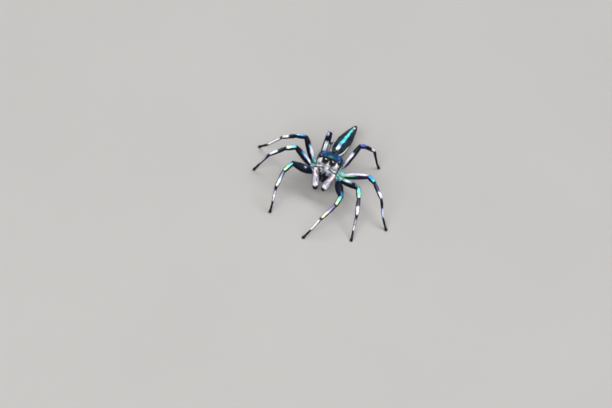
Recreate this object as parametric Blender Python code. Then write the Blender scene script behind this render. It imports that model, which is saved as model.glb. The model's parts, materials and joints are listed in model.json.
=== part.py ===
"""Sea-green northern jumping spider, standing on its eight feet: a life-size still model."""
import math

import bmesh
import bpy
from mathutils import Matrix, Vector

# Shapes are drawn in millimetres and turned into metres when they are finished.
MM = 0.001
# Moves the spider so that the origin lies on the floor under the middle of its outline.
BODY_SHIFT = Vector((-0.27, 0.92, 0.0))

# Gaps between neighbouring pieces: at the leg joints, at the roots on the body, round the eyes.
JOINT_GAP = 0.10
ROOT_GAP = 0.09
EYE_GAP = 0.05

# The front body stands this high at its coxae, with the face lifted and turned a little.
COXA_HEIGHT = 1.38
FACE_LIFT = math.radians(24.0)
FACE_TURN = math.radians(4.0)

# Front body, in its own frame: the face looks along -Y and z is 0 at the coxae.
FACE_Y = -1.50
REAR_Y = 1.50
MARGIN_Z = 0.10
# Stations from face to rear: y, half width, top, bottom.
FRONT_STATIONS = (
    (FACE_Y, 0.66, 1.00, 0.24),
    (-1.44, 0.84, 1.09, 0.10),
    (-1.22, 0.95, 1.15, -0.12),
    (-0.80, 1.02, 1.19, -0.36),
    (-0.35, 1.06, 1.17, -0.48),
    (0.05, 1.08, 1.05, -0.52),
    (0.45, 1.07, 0.87, -0.52),
    (0.82, 0.99, 0.67, -0.46),
    (1.14, 0.82, 0.48, -0.34),
    (1.38, 0.54, 0.32, -0.18),
    (REAR_Y, 0.22, 0.22, -0.02),
)
FRONT_SIDES = 28
LEAST_REACH = 0.02
# How boxy the section is above and below the margin of the carapace.
TOP_POWER = 3.4
UNDER_POWER = 2.2

# Eyes: place of the centre (x outwards, y, z) and radius.
EYES = {
    "eye_front_main": ((0.31, -1.44, 0.84), 0.25),
    "eye_front_side": ((0.78, -1.26, 0.99), 0.15),
    "eye_small": ((0.90, -0.84, 0.98), 0.07),
    "eye_rear": ((0.84, -0.38, 0.98), 0.14),
}
# Facets of an eye ball or its socket, as (segments, rings).
LARGE_EYE_RADIUS = 0.2
LARGE_EYE_FACETS = (20, 12)
SMALL_EYE_FACETS = (14, 8)

# Chelicerae: stations from the clypeus down to the fang: x, y, z, half width, half depth.
CHELICERA_STATIONS = (
    (0.23, -1.28, 0.24, 0.17, 0.16),
    (0.24, -1.34, 0.08, 0.19, 0.21),
    (0.24, -1.38, -0.20, 0.20, 0.22),
    (0.23, -1.38, -0.54, 0.18, 0.21),
    (0.20, -1.35, -0.84, 0.14, 0.17),
    (0.15, -1.30, -1.04, 0.08, 0.10),
)
CHELICERA_SIDES = 14

# Mouthparts under the front: y, half width, top, bottom.
MOUTH_STATIONS = (
    (-1.12, 0.22, -0.38, -0.70),
    (-1.02, 0.34, -0.35, -0.78),
    (-0.82, 0.33, -0.42, -0.80),
    (-0.68, 0.20, -0.48, -0.74),
)
MOUTH_POWER = 3.0
MOUTH_ORIGIN = (0.0, -0.88, -0.58)

# Palps: joints in the front body's frame (x outwards) for the right and the left one.
PALP_JOINTS = {
    "right": ((0.68, -1.20, -0.26), (0.77, -1.80, 0.07), (0.56, -1.98, -0.41), (0.23, -2.02, -1.44)),
    "left": ((0.68, -1.20, -0.26), (0.79, -1.80, 0.09), (0.61, -1.98, -0.42), (0.41, -2.02, -1.30)),
}
PALP_SIDES = 12
# Radii along the palp's femur, then along its patella and tibia, then its tarsus.
PALP_FEMUR = ((0.0, 0.17), (0.5, 0.21), (1.0, 0.21))
PALP_TIBIA = ((0.0, 0.21), (0.35, 0.25), (1.0, 0.25))
PALP_TARSUS = ((0.0, 0.25), (0.35, 0.28), (0.72, 0.27), (0.90, 0.22), (1.0, 0.13))

# Coxae: root inside the front body and outer end, x outwards, for leg pairs 1 to 4.
COXAE = {
    1: ((0.32, -0.68, -0.32), (0.90, -0.99, -0.42)),
    2: ((0.38, -0.34, -0.34), (1.04, -0.45, -0.41)),
    3: ((0.38, 0.10, -0.32), (1.05, 0.12, -0.33)),
    4: ((0.30, 0.62, -0.24), (0.76, 1.05, -0.20)),
}
COXA_RADIUS = 0.24
COXA_END_RADIUS = 0.21
COXA_SIDES = 10

# Lengths of trochanter, femur, patella, tibia, metatarsus and tarsus, for leg pairs 1 to 4.
LEG_LENGTHS = {
    1: (0.47, 1.97, 1.13, 1.57, 1.29, 0.82),
    2: (0.52, 2.02, 0.89, 1.46, 1.25, 0.82),
    3: (0.51, 2.21, 0.79, 1.39, 1.55, 1.06),
    4: (0.43, 2.21, 0.66, 1.25, 1.32, 0.58),
}
# The stance: how far each length is turned back from straight out sideways, and how far it
# rises, in degrees. The tarsus has no rise of its own, since its tip comes down to the floor.
LEG_STANCE = {
    (1, "right"): ((-82, -29, -74, -92, -108, -109), (9, 27, -3, -22, -48)),
    (2, "right"): ((-48, -8, -37, -31, -31, -35), (36, 42, -5, -37, -66)),
    (3, "right"): ((-39, 12, -3, 1, -15, 7), (44, 59, -23, -40, -54)),
    (4, "right"): ((79, 71, 96, 100, 98, 101), (20, 80, -48, -75, -53)),
    (1, "left"): ((-41, -63, -92, -113, -111, -114), (8, 13, 0, -26, -36)),
    (2, "left"): ((-26, -29, -60, -69, -74, -72), (-8, 30, -18, -26, -38)),
    (3, "left"): ((-18, -1, -31, -34, -46, -35), (1, 34, 7, -25, -45)),
    (4, "left"): ((3, 65, 56, 42, 0, 6), (14, 56, -28, -35, -65)),
}
# Radii along each length, as (fraction of the length, radius); the femora thin out to the rear.
TROCHANTER = ((0.0, 0.18), (0.6, 0.20))
STOUT_FEMUR = ((0.12, 0.26), (0.34, 0.37), (0.64, 0.35), (1.0, 0.26))
MIDDLE_FEMUR = ((0.12, 0.22), (0.38, 0.28), (0.70, 0.27), (1.0, 0.24))
REAR_FEMUR = ((0.12, 0.21), (0.38, 0.25), (0.70, 0.25), (1.0, 0.24))
FEMORA = {1: STOUT_FEMUR, 2: MIDDLE_FEMUR, 3: MIDDLE_FEMUR, 4: REAR_FEMUR}
PATELLA = ((0.0, 0.24), (0.5, 0.26), (0.8, 0.25))
TIBIA = ((0.0, 0.25), (0.45, 0.25), (1.0, 0.24))
METATARSUS = ((0.0, 0.23), (0.5, 0.20), (0.8, 0.17))
TARSUS = ((0.0, 0.16), (0.5, 0.15), (1.0, 0.11))
FEMUR_SIDES = 12
SHANK_SIDES = 12
FOOT_SIDES = 10

# Abdomen: axis from the pedicel to the tip, in the floor's frame, and its stations as
# (fraction of the axis, half width, half height).
ABDOMEN_FRONT = Vector((-0.17, 1.56, 0.90))
ABDOMEN_TIP = Vector((0.29, 5.14, 1.17))
ABDOMEN_STATIONS = (
    (0.000, 0.14, 0.14),
    (0.020, 0.30, 0.30),
    (0.070, 0.46, 0.44),
    (0.160, 0.56, 0.53),
    (0.300, 0.61, 0.57),
    (0.450, 0.60, 0.56),
    (0.600, 0.54, 0.51),
    (0.740, 0.44, 0.42),
    (0.860, 0.33, 0.31),
    (0.950, 0.25, 0.24),
    (1.000, 0.19, 0.18),
)
ABDOMEN_SIDES = 24
# Thin waist: it starts this far before the carapace's rear and ends at this fraction of the abdomen.
PEDICEL_RADIUS = 0.12
PEDICEL_SIDES = 12
PEDICEL_START = 0.10
PEDICEL_END = 0.05
# Spinnerets: a short base, and four cones as sideways and upward place, length, radius.
SPINNERET_BASE_RADIUS = 0.14
SPINNERET_BASE_LENGTH = 0.06
SPINNERET_SIDES = 12
CONES = (
    (0.06, 0.05, 0.12, 0.05),
    (-0.06, 0.05, 0.12, 0.05),
    (0.06, -0.05, 0.10, 0.05),
    (-0.06, -0.05, 0.10, 0.05),
)
CONE_TAPER = ((0.0, 1.0), (0.7, 0.8), (1.0, 0.4))
CONE_SINK = 0.03
CONE_SIDES = 8

# Edges that bend more than this stay crisp.
CRISP_ANGLE = math.radians(45.0)
# Red, green, blue, roughness and metallic value of each material.
COLOURS = {
    "carapace scales": (0.055, 0.145, 0.300, 0.38, 0.35),
    "eye lens": (0.006, 0.006, 0.008, 0.06, 0.0),
    "jaw cuticle": (0.060, 0.060, 0.070, 0.35, 0.0),
    "palp scales": (0.700, 0.620, 0.720, 0.60, 0.0),
    "dark cuticle": (0.012, 0.010, 0.016, 0.32, 0.1),
    "banded shank": (0.300, 0.480, 0.520, 0.40, 0.2),
    "pale foot scales": (0.420, 0.400, 0.560, 0.50, 0.0),
    "abdomen scales": (0.020, 0.025, 0.050, 0.34, 0.3),
}


def side_sign(side):
    """The spider's left is +X."""
    return 1.0 if side == "left" else -1.0


def front_point(x, y, z):
    """A point of the front body's frame, taken to the floor's frame."""
    lifted = Matrix.Rotation(-FACE_LIFT, 3, "X") @ Vector((x, y, z))
    pivot = Vector((0.0, FACE_Y * math.cos(FACE_LIFT), 0.0))
    turned = Matrix.Rotation(FACE_TURN, 3, "Z") @ (lifted - pivot) + pivot
    return turned + Vector((0.0, 0.0, COXA_HEIGHT))


def direction(turn, rise, sign):
    """Unit vector of a leg's length from its turn back and its rise."""
    turn = math.radians(turn)
    rise = math.radians(rise)
    level = math.cos(rise)
    return Vector((sign * level * math.cos(turn), level * math.sin(turn), math.sin(rise)))


def leg_joints(pair, side):
    """Joints of a leg in the floor's frame, from the coxa's end to the tip on the floor."""
    sign = side_sign(side)
    end = COXAE[pair][1]
    joints = [front_point(sign * end[0], end[1], end[2])]
    turns, rises = LEG_STANCE[(pair, side)]
    lengths = LEG_LENGTHS[pair]
    for turn, rise, length in zip(turns, rises, lengths):
        joints.append(joints[-1] + direction(turn, rise, sign) * length)
    drop = -math.degrees(math.asin(joints[-1].z / lengths[-1]))
    joints.append(joints[-1] + direction(turns[-1], drop, sign) * lengths[-1])
    return joints


def mitre(before, here, after):
    """Unit normal of the plane that halves the bend at a joint."""
    return ((here - before).normalized() + (after - here).normalized()).normalized()


def material(name):
    """Material with the named colour, roughness and metallic value."""
    found = bpy.data.materials.get(name)
    if found:
        return found
    red, green, blue, roughness, metallic = COLOURS[name]
    made = bpy.data.materials.new(name)
    made.use_nodes = True
    shader = made.node_tree.nodes["Principled BSDF"]
    shader.inputs["Base Color"].default_value = (red, green, blue, 1.0)
    shader.inputs["Roughness"].default_value = roughness
    shader.inputs["Metallic"].default_value = metallic
    made.diffuse_color = (red, green, blue, 1.0)
    return made


def new_object(name, mesh):
    """Object in the scene with this mesh."""
    made = bpy.data.objects.new(name, mesh)
    bpy.context.scene.collection.objects.link(made)
    return made


def loft(name, rings):
    """Closed body through rings of points, with a flat face at each end."""
    body = bmesh.new()
    rows = [[body.verts.new(point) for point in ring] for ring in rings]
    count = len(rows[0])
    for near, far in zip(rows, rows[1:]):
        for i in range(count):
            j = (i + 1) % count
            body.faces.new((near[i], near[j], far[j], far[i]))
    body.faces.new(list(reversed(rows[0])))
    body.faces.new(rows[-1])
    bmesh.ops.recalc_face_normals(body, faces=body.faces)
    mesh = bpy.data.meshes.new(name)
    body.to_mesh(mesh)
    body.free()
    return new_object(name, mesh)


def boxy(share, half, power):
    """Distance along one axis of a superellipse, from the sine or cosine of the angle."""
    return half * math.copysign(abs(share) ** (2.0 / power), share)


def front_ring(y, half_width, top, bottom, extra=0.0):
    """Section of the front body: a flat-topped carapace over a rounder underside."""
    ring = []
    for i in range(FRONT_SIDES):
        angle = 2.0 * math.pi * (i + 0.5) / FRONT_SIDES
        above = math.sin(angle) > 0.0
        power = TOP_POWER if above else UNDER_POWER
        reach = (top - MARGIN_Z if above else MARGIN_Z - bottom) + extra
        x = boxy(math.cos(angle), half_width + extra, power)
        z = MARGIN_Z + boxy(math.sin(angle), max(reach, LEAST_REACH), power)
        ring.append(front_point(x, y, z))
    return ring


def front_body(name, extra=0.0):
    """Carapace and underside as one body, grown by extra all round where it cuts a neighbour."""
    rings = []
    last = len(FRONT_STATIONS) - 1
    for i, (y, half_width, top, bottom) in enumerate(FRONT_STATIONS):
        if i == 0:
            y -= extra
        elif i == last:
            y += extra
        rings.append(front_ring(y, half_width, top, bottom, extra))
    return loft(name, rings)


def limb(name, joints, profiles, sides, start_plane, end_plane):
    """Tube along joints; each length has (fraction, radius) stations, and the ends lie on planes.

    A plane is a point and a normal. At a bend inside the tube the ring lies on the mitre.
    """
    axes = [(b - a).normalized() for a, b in zip(joints, joints[1:])]
    across = axes[0].cross(Vector((0.0, 0.0, 1.0))).normalized()
    rings = []
    for k, axis in enumerate(axes):
        if k:
            across = axes[k - 1].rotation_difference(axis) @ across
        upward = across.cross(axis).normalized()
        start, end = joints[k], joints[k + 1]
        for fraction, radius in profiles[k]:
            plane = None
            if fraction == 0.0:
                plane = start_plane if k == 0 else (start, mitre(joints[k - 1], start, end))
            elif fraction == 1.0 and k == len(axes) - 1:
                plane = end_plane
            centre = start.lerp(end, fraction)
            ring = []
            for i in range(sides):
                angle = 2.0 * math.pi * i / sides
                outward = across * math.cos(angle) + upward * math.sin(angle)
                point = centre + outward * radius
                if plane:
                    point += axis * ((plane[0] - point).dot(plane[1]) / axis.dot(plane[1]))
                ring.append(point)
            rings.append(ring)
    return loft(name, rings)


def applied(target, operation, others):
    """Target joined with or cut by the other bodies, which are then removed."""
    group = bpy.data.collections.new(target.name + " pieces")
    bpy.context.scene.collection.children.link(group)
    for other in others:
        group.objects.link(other)
        bpy.context.scene.collection.objects.unlink(other)
    step = target.modifiers.new(operation.lower(), "BOOLEAN")
    step.operation = operation
    step.operand_type = "COLLECTION"
    step.collection = group
    step.solver = "EXACT"
    bpy.context.view_layer.update()
    graph = bpy.context.evaluated_depsgraph_get()
    mesh = bpy.data.meshes.new_from_object(target.evaluated_get(graph))
    target.modifiers.clear()
    target.data = mesh
    for other in others:
        bpy.data.objects.remove(other)
    bpy.data.collections.remove(group)
    keep_largest(mesh)
    return target


def keep_largest(mesh):
    """Keep only the closed surface with the most faces."""
    body = bmesh.new()
    body.from_mesh(mesh)
    left = set(body.faces)
    shells = []
    while left:
        stack = [left.pop()]
        shell = list(stack)
        while stack:
            for edge in stack.pop().edges:
                for face in edge.link_faces:
                    if face in left:
                        left.remove(face)
                        stack.append(face)
                        shell.append(face)
        shells.append(shell)
    shells.sort(key=len)
    for shell in shells[:-1]:
        bmesh.ops.delete(body, geom=shell, context="FACES")
    body.to_mesh(mesh)
    body.free()


def ball(name, centre, radius, facets):
    """Round ball with its facets as (segments, rings)."""
    segments, rings = facets
    body = bmesh.new()
    bmesh.ops.create_uvsphere(body, u_segments=segments, v_segments=rings, radius=radius)
    bmesh.ops.translate(body, vec=centre, verts=body.verts)
    mesh = bpy.data.meshes.new(name)
    body.to_mesh(mesh)
    body.free()
    return new_object(name, mesh)


def finish(piece, origin, parent, colour):
    """Turn a finished piece into metres, with its own origin, under the spider's empty."""
    piece.data.transform(Matrix.Translation(-origin))
    piece.data.transform(Matrix.Scale(MM, 4))
    piece.location = origin * MM
    piece.parent = parent
    piece.data.materials.clear()
    piece.data.materials.append(material(colour))
    piece.data.shade_smooth()
    piece.data.set_sharp_from_angle(angle=CRISP_ANGLE)
    return piece


def make_cephalothorax(parent):
    """Carapace, sternum and coxae in one, with a socket for each eye."""
    body = front_body("cephalothorax")
    coxae = []
    for pair, (root, end) in COXAE.items():
        for side in ("right", "left"):
            sign = side_sign(side)
            inner = front_point(sign * root[0], root[1], root[2])
            outer = front_point(sign * end[0], end[1], end[2])
            after = leg_joints(pair, side)[1]
            normal = mitre(inner, outer, after)
            profile = ((0.0, COXA_RADIUS), (0.6, COXA_RADIUS), (1.0, COXA_END_RADIUS))
            end_plane = (outer - normal * JOINT_GAP / 2, normal)
            start_plane = (inner, (outer - inner).normalized())
            coxae.append(limb("coxa", [inner, outer], [profile], COXA_SIDES, start_plane, end_plane))
    applied(body, "UNION", coxae)
    sockets = []
    for place, radius in EYES.values():
        for side in ("right", "left"):
            centre = front_point(side_sign(side) * place[0], place[1], place[2])
            sockets.append(ball("socket", centre, radius + EYE_GAP, LARGE_EYE_FACETS))
    applied(body, "DIFFERENCE", sockets)
    finish(body, front_point(0.0, 0.0, 0.0), parent, "carapace scales")


def make_eyes(parent):
    """Four pairs of eyes, each a ball in its socket."""
    for name, (place, radius) in EYES.items():
        facets = LARGE_EYE_FACETS if radius > LARGE_EYE_RADIUS else SMALL_EYE_FACETS
        for side in ("right", "left"):
            centre = front_point(side_sign(side) * place[0], place[1], place[2])
            eye = ball(f"{name}_{side}", centre, radius, facets)
            finish(eye, centre, parent, "eye lens")


def make_chelicerae(parent):
    """Two jaws under the face, each ending in its folded fang."""
    for side in ("right", "left"):
        sign = side_sign(side)
        rings = []
        for x, y, z, half_width, half_depth in CHELICERA_STATIONS:
            ring = []
            for i in range(CHELICERA_SIDES):
                angle = 2.0 * math.pi * i / CHELICERA_SIDES
                sideways = sign * x + half_width * math.cos(angle)
                ring.append(front_point(sideways, y + half_depth * math.sin(angle), z))
            rings.append(ring)
        jaw = loft(f"chelicera_{side}", rings)
        applied(jaw, "DIFFERENCE", [front_body("clearance", ROOT_GAP)])
        x, y, z = CHELICERA_STATIONS[0][:3]
        finish(jaw, front_point(sign * x, y, z), parent, "jaw cuticle")


def make_mouthparts(parent):
    """Endites and labium as one plate under the front."""
    rings = []
    for y, half_width, top, bottom in MOUTH_STATIONS:
        middle = (top + bottom) / 2
        reach = (top - bottom) / 2
        ring = []
        for i in range(CHELICERA_SIDES):
            angle = 2.0 * math.pi * i / CHELICERA_SIDES
            sideways = boxy(math.cos(angle), half_width, MOUTH_POWER)
            ring.append(front_point(sideways, y, middle + boxy(math.sin(angle), reach, MOUTH_POWER)))
        rings.append(ring)
    plate = loft("mouthparts", rings)
    applied(plate, "DIFFERENCE", [front_body("clearance", ROOT_GAP)])
    finish(plate, front_point(*MOUTH_ORIGIN), parent, "jaw cuticle")


def make_palps(parent):
    """Two palps: a femur out of the mouthparts' side, then tibia and tarsus hanging down."""
    for side in ("right", "left"):
        sign = side_sign(side)
        joints = [front_point(sign * x, y, z) for x, y, z in PALP_JOINTS[side]]
        normal = mitre(joints[0], joints[1], joints[2])
        gap = normal * JOINT_GAP / 2
        first = (joints[0], (joints[1] - joints[0]).normalized())
        end = (joints[1] - gap, normal)
        femur = limb(f"palp_{side}_femur", joints[:2], [PALP_FEMUR], PALP_SIDES, first, end)
        applied(femur, "DIFFERENCE", [front_body("clearance", ROOT_GAP)])
        finish(femur, joints[0], parent, "dark cuticle")
        start = (joints[1] + gap, normal)
        last = (joints[3], (joints[3] - joints[2]).normalized())
        profiles = [PALP_TIBIA[:-1], PALP_TARSUS]
        tip = limb(f"palp_{side}_tip", joints[1:], profiles, PALP_SIDES, start, last)
        finish(tip, joints[1], parent, "palp scales")


def make_leg(pair, side, parent):
    """One leg in three lengths: femur, shank and foot, each with its neighbour's gap."""
    joints = leg_joints(pair, side)
    name = f"leg_{pair}_{side}"
    sign = side_sign(side)
    root = COXAE[pair][0]
    inner = front_point(sign * root[0], root[1], root[2])
    hip, knee, ankle = joints[0], joints[2], joints[4]
    hip_normal = mitre(inner, hip, joints[1])
    knee_normal = mitre(joints[1], knee, joints[3])
    ankle_normal = mitre(joints[3], ankle, joints[5])
    half = JOINT_GAP / 2

    start = (hip + hip_normal * half, hip_normal)
    end = (knee - knee_normal * half, knee_normal)
    profiles = [TROCHANTER, FEMORA[pair]]
    femur = limb(f"{name}_femur", joints[:3], profiles, FEMUR_SIDES, start, end)
    applied(femur, "DIFFERENCE", [front_body("clearance", ROOT_GAP)])
    finish(femur, hip, parent, "dark cuticle")

    start = (knee + knee_normal * half, knee_normal)
    end = (ankle - ankle_normal * half, ankle_normal)
    shank = limb(f"{name}_shank", joints[2:5], [PATELLA, TIBIA], SHANK_SIDES, start, end)
    finish(shank, knee, parent, "banded shank")

    start = (ankle + ankle_normal * half, ankle_normal)
    floor = (Vector((0.0, 0.0, 0.0)), Vector((0.0, 0.0, 1.0)))
    foot = limb(f"{name}_foot", joints[4:], [METATARSUS, TARSUS], FOOT_SIDES, start, floor)
    finish(foot, ankle, parent, "pale foot scales")


def abdomen_frame():
    """Axis of the abdomen with its sideways and upward directions."""
    axis = (ABDOMEN_TIP - ABDOMEN_FRONT).normalized()
    across = axis.cross(Vector((0.0, 0.0, 1.0))).normalized()
    return axis, across, across.cross(axis).normalized()


def abdomen_body(name, extra=0.0):
    """Abdomen, grown by extra all round where it cuts a neighbour."""
    axis, across, upward = abdomen_frame()
    rings = []
    last = len(ABDOMEN_STATIONS) - 1
    for k, (fraction, half_width, half_height) in enumerate(ABDOMEN_STATIONS):
        centre = ABDOMEN_FRONT.lerp(ABDOMEN_TIP, fraction)
        if k == 0:
            centre = centre - axis * extra
        elif k == last:
            centre = centre + axis * extra
        ring = []
        for i in range(ABDOMEN_SIDES):
            angle = 2.0 * math.pi * i / ABDOMEN_SIDES
            sideways = across * ((half_width + extra) * math.cos(angle))
            ring.append(centre + sideways + upward * ((half_height + extra) * math.sin(angle)))
        rings.append(ring)
    return loft(name, rings)


def make_abdomen(parent):
    """Abdomen, the thin waist before it and the spinnerets at its tip."""
    finish(abdomen_body("abdomen"), ABDOMEN_FRONT, parent, "abdomen scales")

    rear = front_point(0.0, REAR_Y - PEDICEL_START, MARGIN_Z)
    inside = ABDOMEN_FRONT.lerp(ABDOMEN_TIP, PEDICEL_END)
    heading = (inside - rear).normalized()
    profile = ((0.0, PEDICEL_RADIUS), (1.0, PEDICEL_RADIUS))
    ends = (rear, heading), (inside, heading)
    waist = limb("pedicel", [rear, inside], [profile], PEDICEL_SIDES, *ends)
    half = ROOT_GAP / 2
    applied(waist, "DIFFERENCE", [front_body("clearance", half), abdomen_body("clearance", half)])
    finish(waist, rear, parent, "dark cuticle")

    axis, across, upward = abdomen_frame()
    seat = ABDOMEN_TIP + axis * half
    top = seat + axis * SPINNERET_BASE_LENGTH
    profile = ((0.0, SPINNERET_BASE_RADIUS), (1.0, SPINNERET_BASE_RADIUS))
    base = limb("spinnerets", [seat, top], [profile], SPINNERET_SIDES, (seat, axis), (top, axis))
    cones = []
    for sideways, up, length, radius in CONES:
        root = seat + axis * CONE_SINK + across * sideways + upward * up
        tip = root + axis * length
        profile = [(fraction, radius * share) for fraction, share in CONE_TAPER]
        cones.append(limb("cone", [root, tip], [profile], CONE_SIDES, (root, axis), (tip, axis)))
    applied(base, "UNION", cones)
    finish(base, seat, parent, "palp scales")


def main():
    for old in list(bpy.data.objects):
        bpy.data.objects.remove(old)
    spider = new_object("spider", None)
    spider.location = BODY_SHIFT * MM
    make_cephalothorax(spider)
    make_eyes(spider)
    make_chelicerae(spider)
    make_mouthparts(spider)
    make_palps(spider)
    for pair in LEG_LENGTHS:
        for side in ("right", "left"):
            make_leg(pair, side, spider)
    make_abdomen(spider)


main()
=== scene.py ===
import json
import math
import time

import bpy
import numpy as np
from mathutils import Matrix

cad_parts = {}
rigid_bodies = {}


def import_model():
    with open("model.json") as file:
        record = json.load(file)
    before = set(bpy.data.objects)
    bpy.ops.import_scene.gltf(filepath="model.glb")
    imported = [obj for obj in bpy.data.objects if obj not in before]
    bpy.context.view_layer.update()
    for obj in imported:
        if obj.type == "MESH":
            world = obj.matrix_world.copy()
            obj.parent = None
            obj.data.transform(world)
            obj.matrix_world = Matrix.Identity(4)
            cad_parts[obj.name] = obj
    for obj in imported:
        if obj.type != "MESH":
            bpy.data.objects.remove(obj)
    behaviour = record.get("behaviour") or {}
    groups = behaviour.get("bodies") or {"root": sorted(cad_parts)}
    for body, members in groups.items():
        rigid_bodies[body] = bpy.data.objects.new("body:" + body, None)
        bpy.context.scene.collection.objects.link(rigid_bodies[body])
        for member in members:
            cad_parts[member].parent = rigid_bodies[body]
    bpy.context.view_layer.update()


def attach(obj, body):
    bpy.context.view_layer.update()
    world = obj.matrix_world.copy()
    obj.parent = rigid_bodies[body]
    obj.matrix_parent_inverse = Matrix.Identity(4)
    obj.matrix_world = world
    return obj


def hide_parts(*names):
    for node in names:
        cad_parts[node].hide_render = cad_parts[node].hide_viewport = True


started = time.time()
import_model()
mm = 0.001
bodyShift = np.array((-0.27, 0.92, 0.0))  # puts the origin under the middle, as in the solids


def tell(stage):
    print(f"{stage} ({time.time() - started:.1f} s)")


# Small helpers


def hexColour(code):  # sRGB hex to linear red, green, blue, alpha
    parts = [int(code[i : i + 2], 16) / 255 for i in (1, 3, 5)]
    linear = [p / 12.92 if p <= 0.04045 else ((p + 0.055) / 1.055) ** 2.4 for p in parts]
    return (*linear, 1.0)


def addNode(tree, kind, inputs=None, **settings):
    node = tree.nodes.new(kind)
    for key, value in settings.items():
        setattr(node, key, value)
    for key, value in (inputs or {}).items():
        if isinstance(value, bpy.types.NodeSocket):
            tree.links.new(value, node.inputs[key])
        else:
            node.inputs[key].default_value = value
    return node


def maths(tree, operation, a, b):
    return addNode(tree, "ShaderNodeMath", {0: a, 1: b}, operation=operation).outputs[0]


def ranged(tree, value, low, high):  # 0 to 1 becomes low to high
    return addNode(tree, "ShaderNodeMapRange", {"Value": value, "To Min": low, "To Max": high}).outputs[0]


def shaded(tree, colour, factor):
    inputs = {"Factor": 1.0, 6: colour, 7: factor}
    return addNode(tree, "ShaderNodeMix", inputs, data_type="RGBA", blend_type="MULTIPLY").outputs[2]


def attribute(tree, name):
    return addNode(tree, "ShaderNodeAttribute", attribute_name=name).outputs


def makeMaterial(name, roughness, specular=0.5, coat=0.0, coatRoughness=0.1):
    made = bpy.data.materials.new(name)
    made.use_nodes = True
    sockets = made.node_tree.nodes["Principled BSDF"].inputs
    sockets["Roughness"].default_value = roughness
    sockets["Specular IOR Level"].default_value = specular
    sockets["Coat Weight"].default_value = coat
    sockets["Coat Roughness"].default_value = coatRoughness
    return made, made.node_tree, sockets


def newObject(name, data):
    made = bpy.data.objects.new(name, data)
    bpy.context.scene.collection.objects.link(made)
    return made


def smooth(low, high, value):  # 0 below low, 1 above high, soft between
    t = np.clip((value - low) / (high - low), 0.0, 1.0)
    return t * t * (3 - 2 * t)


def unit(vector):
    vector = np.asarray(vector, float)
    return vector / np.maximum(np.linalg.norm(vector, axis=-1, keepdims=True), 1e-12)


def through(stations, at):  # smooth curve through rows of (place, value, value, ...)
    table = np.array(stations, float)
    x, y = table[:, 0], table[:, 1:]
    slope = np.gradient(y, x, axis=0)
    k = np.clip(np.searchsorted(x, at) - 1, 0, len(x) - 2)
    width = (x[k + 1] - x[k])[:, None]
    t = np.clip((at - x[k])[:, None] / width, 0, 1)
    a = (2 * t**3 - 3 * t**2 + 1) * y[k] + (t**3 - 2 * t**2 + t) * width * slope[k]
    return a + (3 * t**2 - 2 * t**3) * y[k + 1] + (t**3 - t**2) * width * slope[k + 1]


def ripple(points, size, seed):  # gentle irregular waves of about this size, roughly -1 to 1
    rng = np.random.default_rng(seed)
    total = 0.0
    for _ in range(6):
        heading = unit(rng.normal(size=3))
        pace = rng.uniform(0.7, 1.4)
        total = total + np.sin(points @ heading * (2 * math.pi / size) * pace + rng.uniform(0, 6.28))
    return total / 3


def tone(code, shine=0.0):  # linear colour of a marking, with how metallic its scales are
    return np.array((*hexColour(code)[:3], shine))


def flood(like, code, shine=0.0):  # one tone all over a grid
    return np.broadcast_to(tone(code, shine), (*like.shape, 4)).copy()


def blendTone(base, tint, weight):
    weight = np.asarray(weight)[..., None]
    return base * (1 - weight) + np.asarray(tint) * weight


def layered(paint, *layers):  # each layer is a colour, its shine and its weight, laid in order
    for code, shine, weight in layers:
        paint = blendTone(paint, tone(code, shine), weight)
    return paint


# Meshes: a skin is closed shells kept together with what its coat needs


def newSkin():
    keys = ("points", "faces", "wrap", "paint", "setae", "lie", "grain", "cover", "slot")
    return {**{key: [] for key in keys}, "count": 0}


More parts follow.
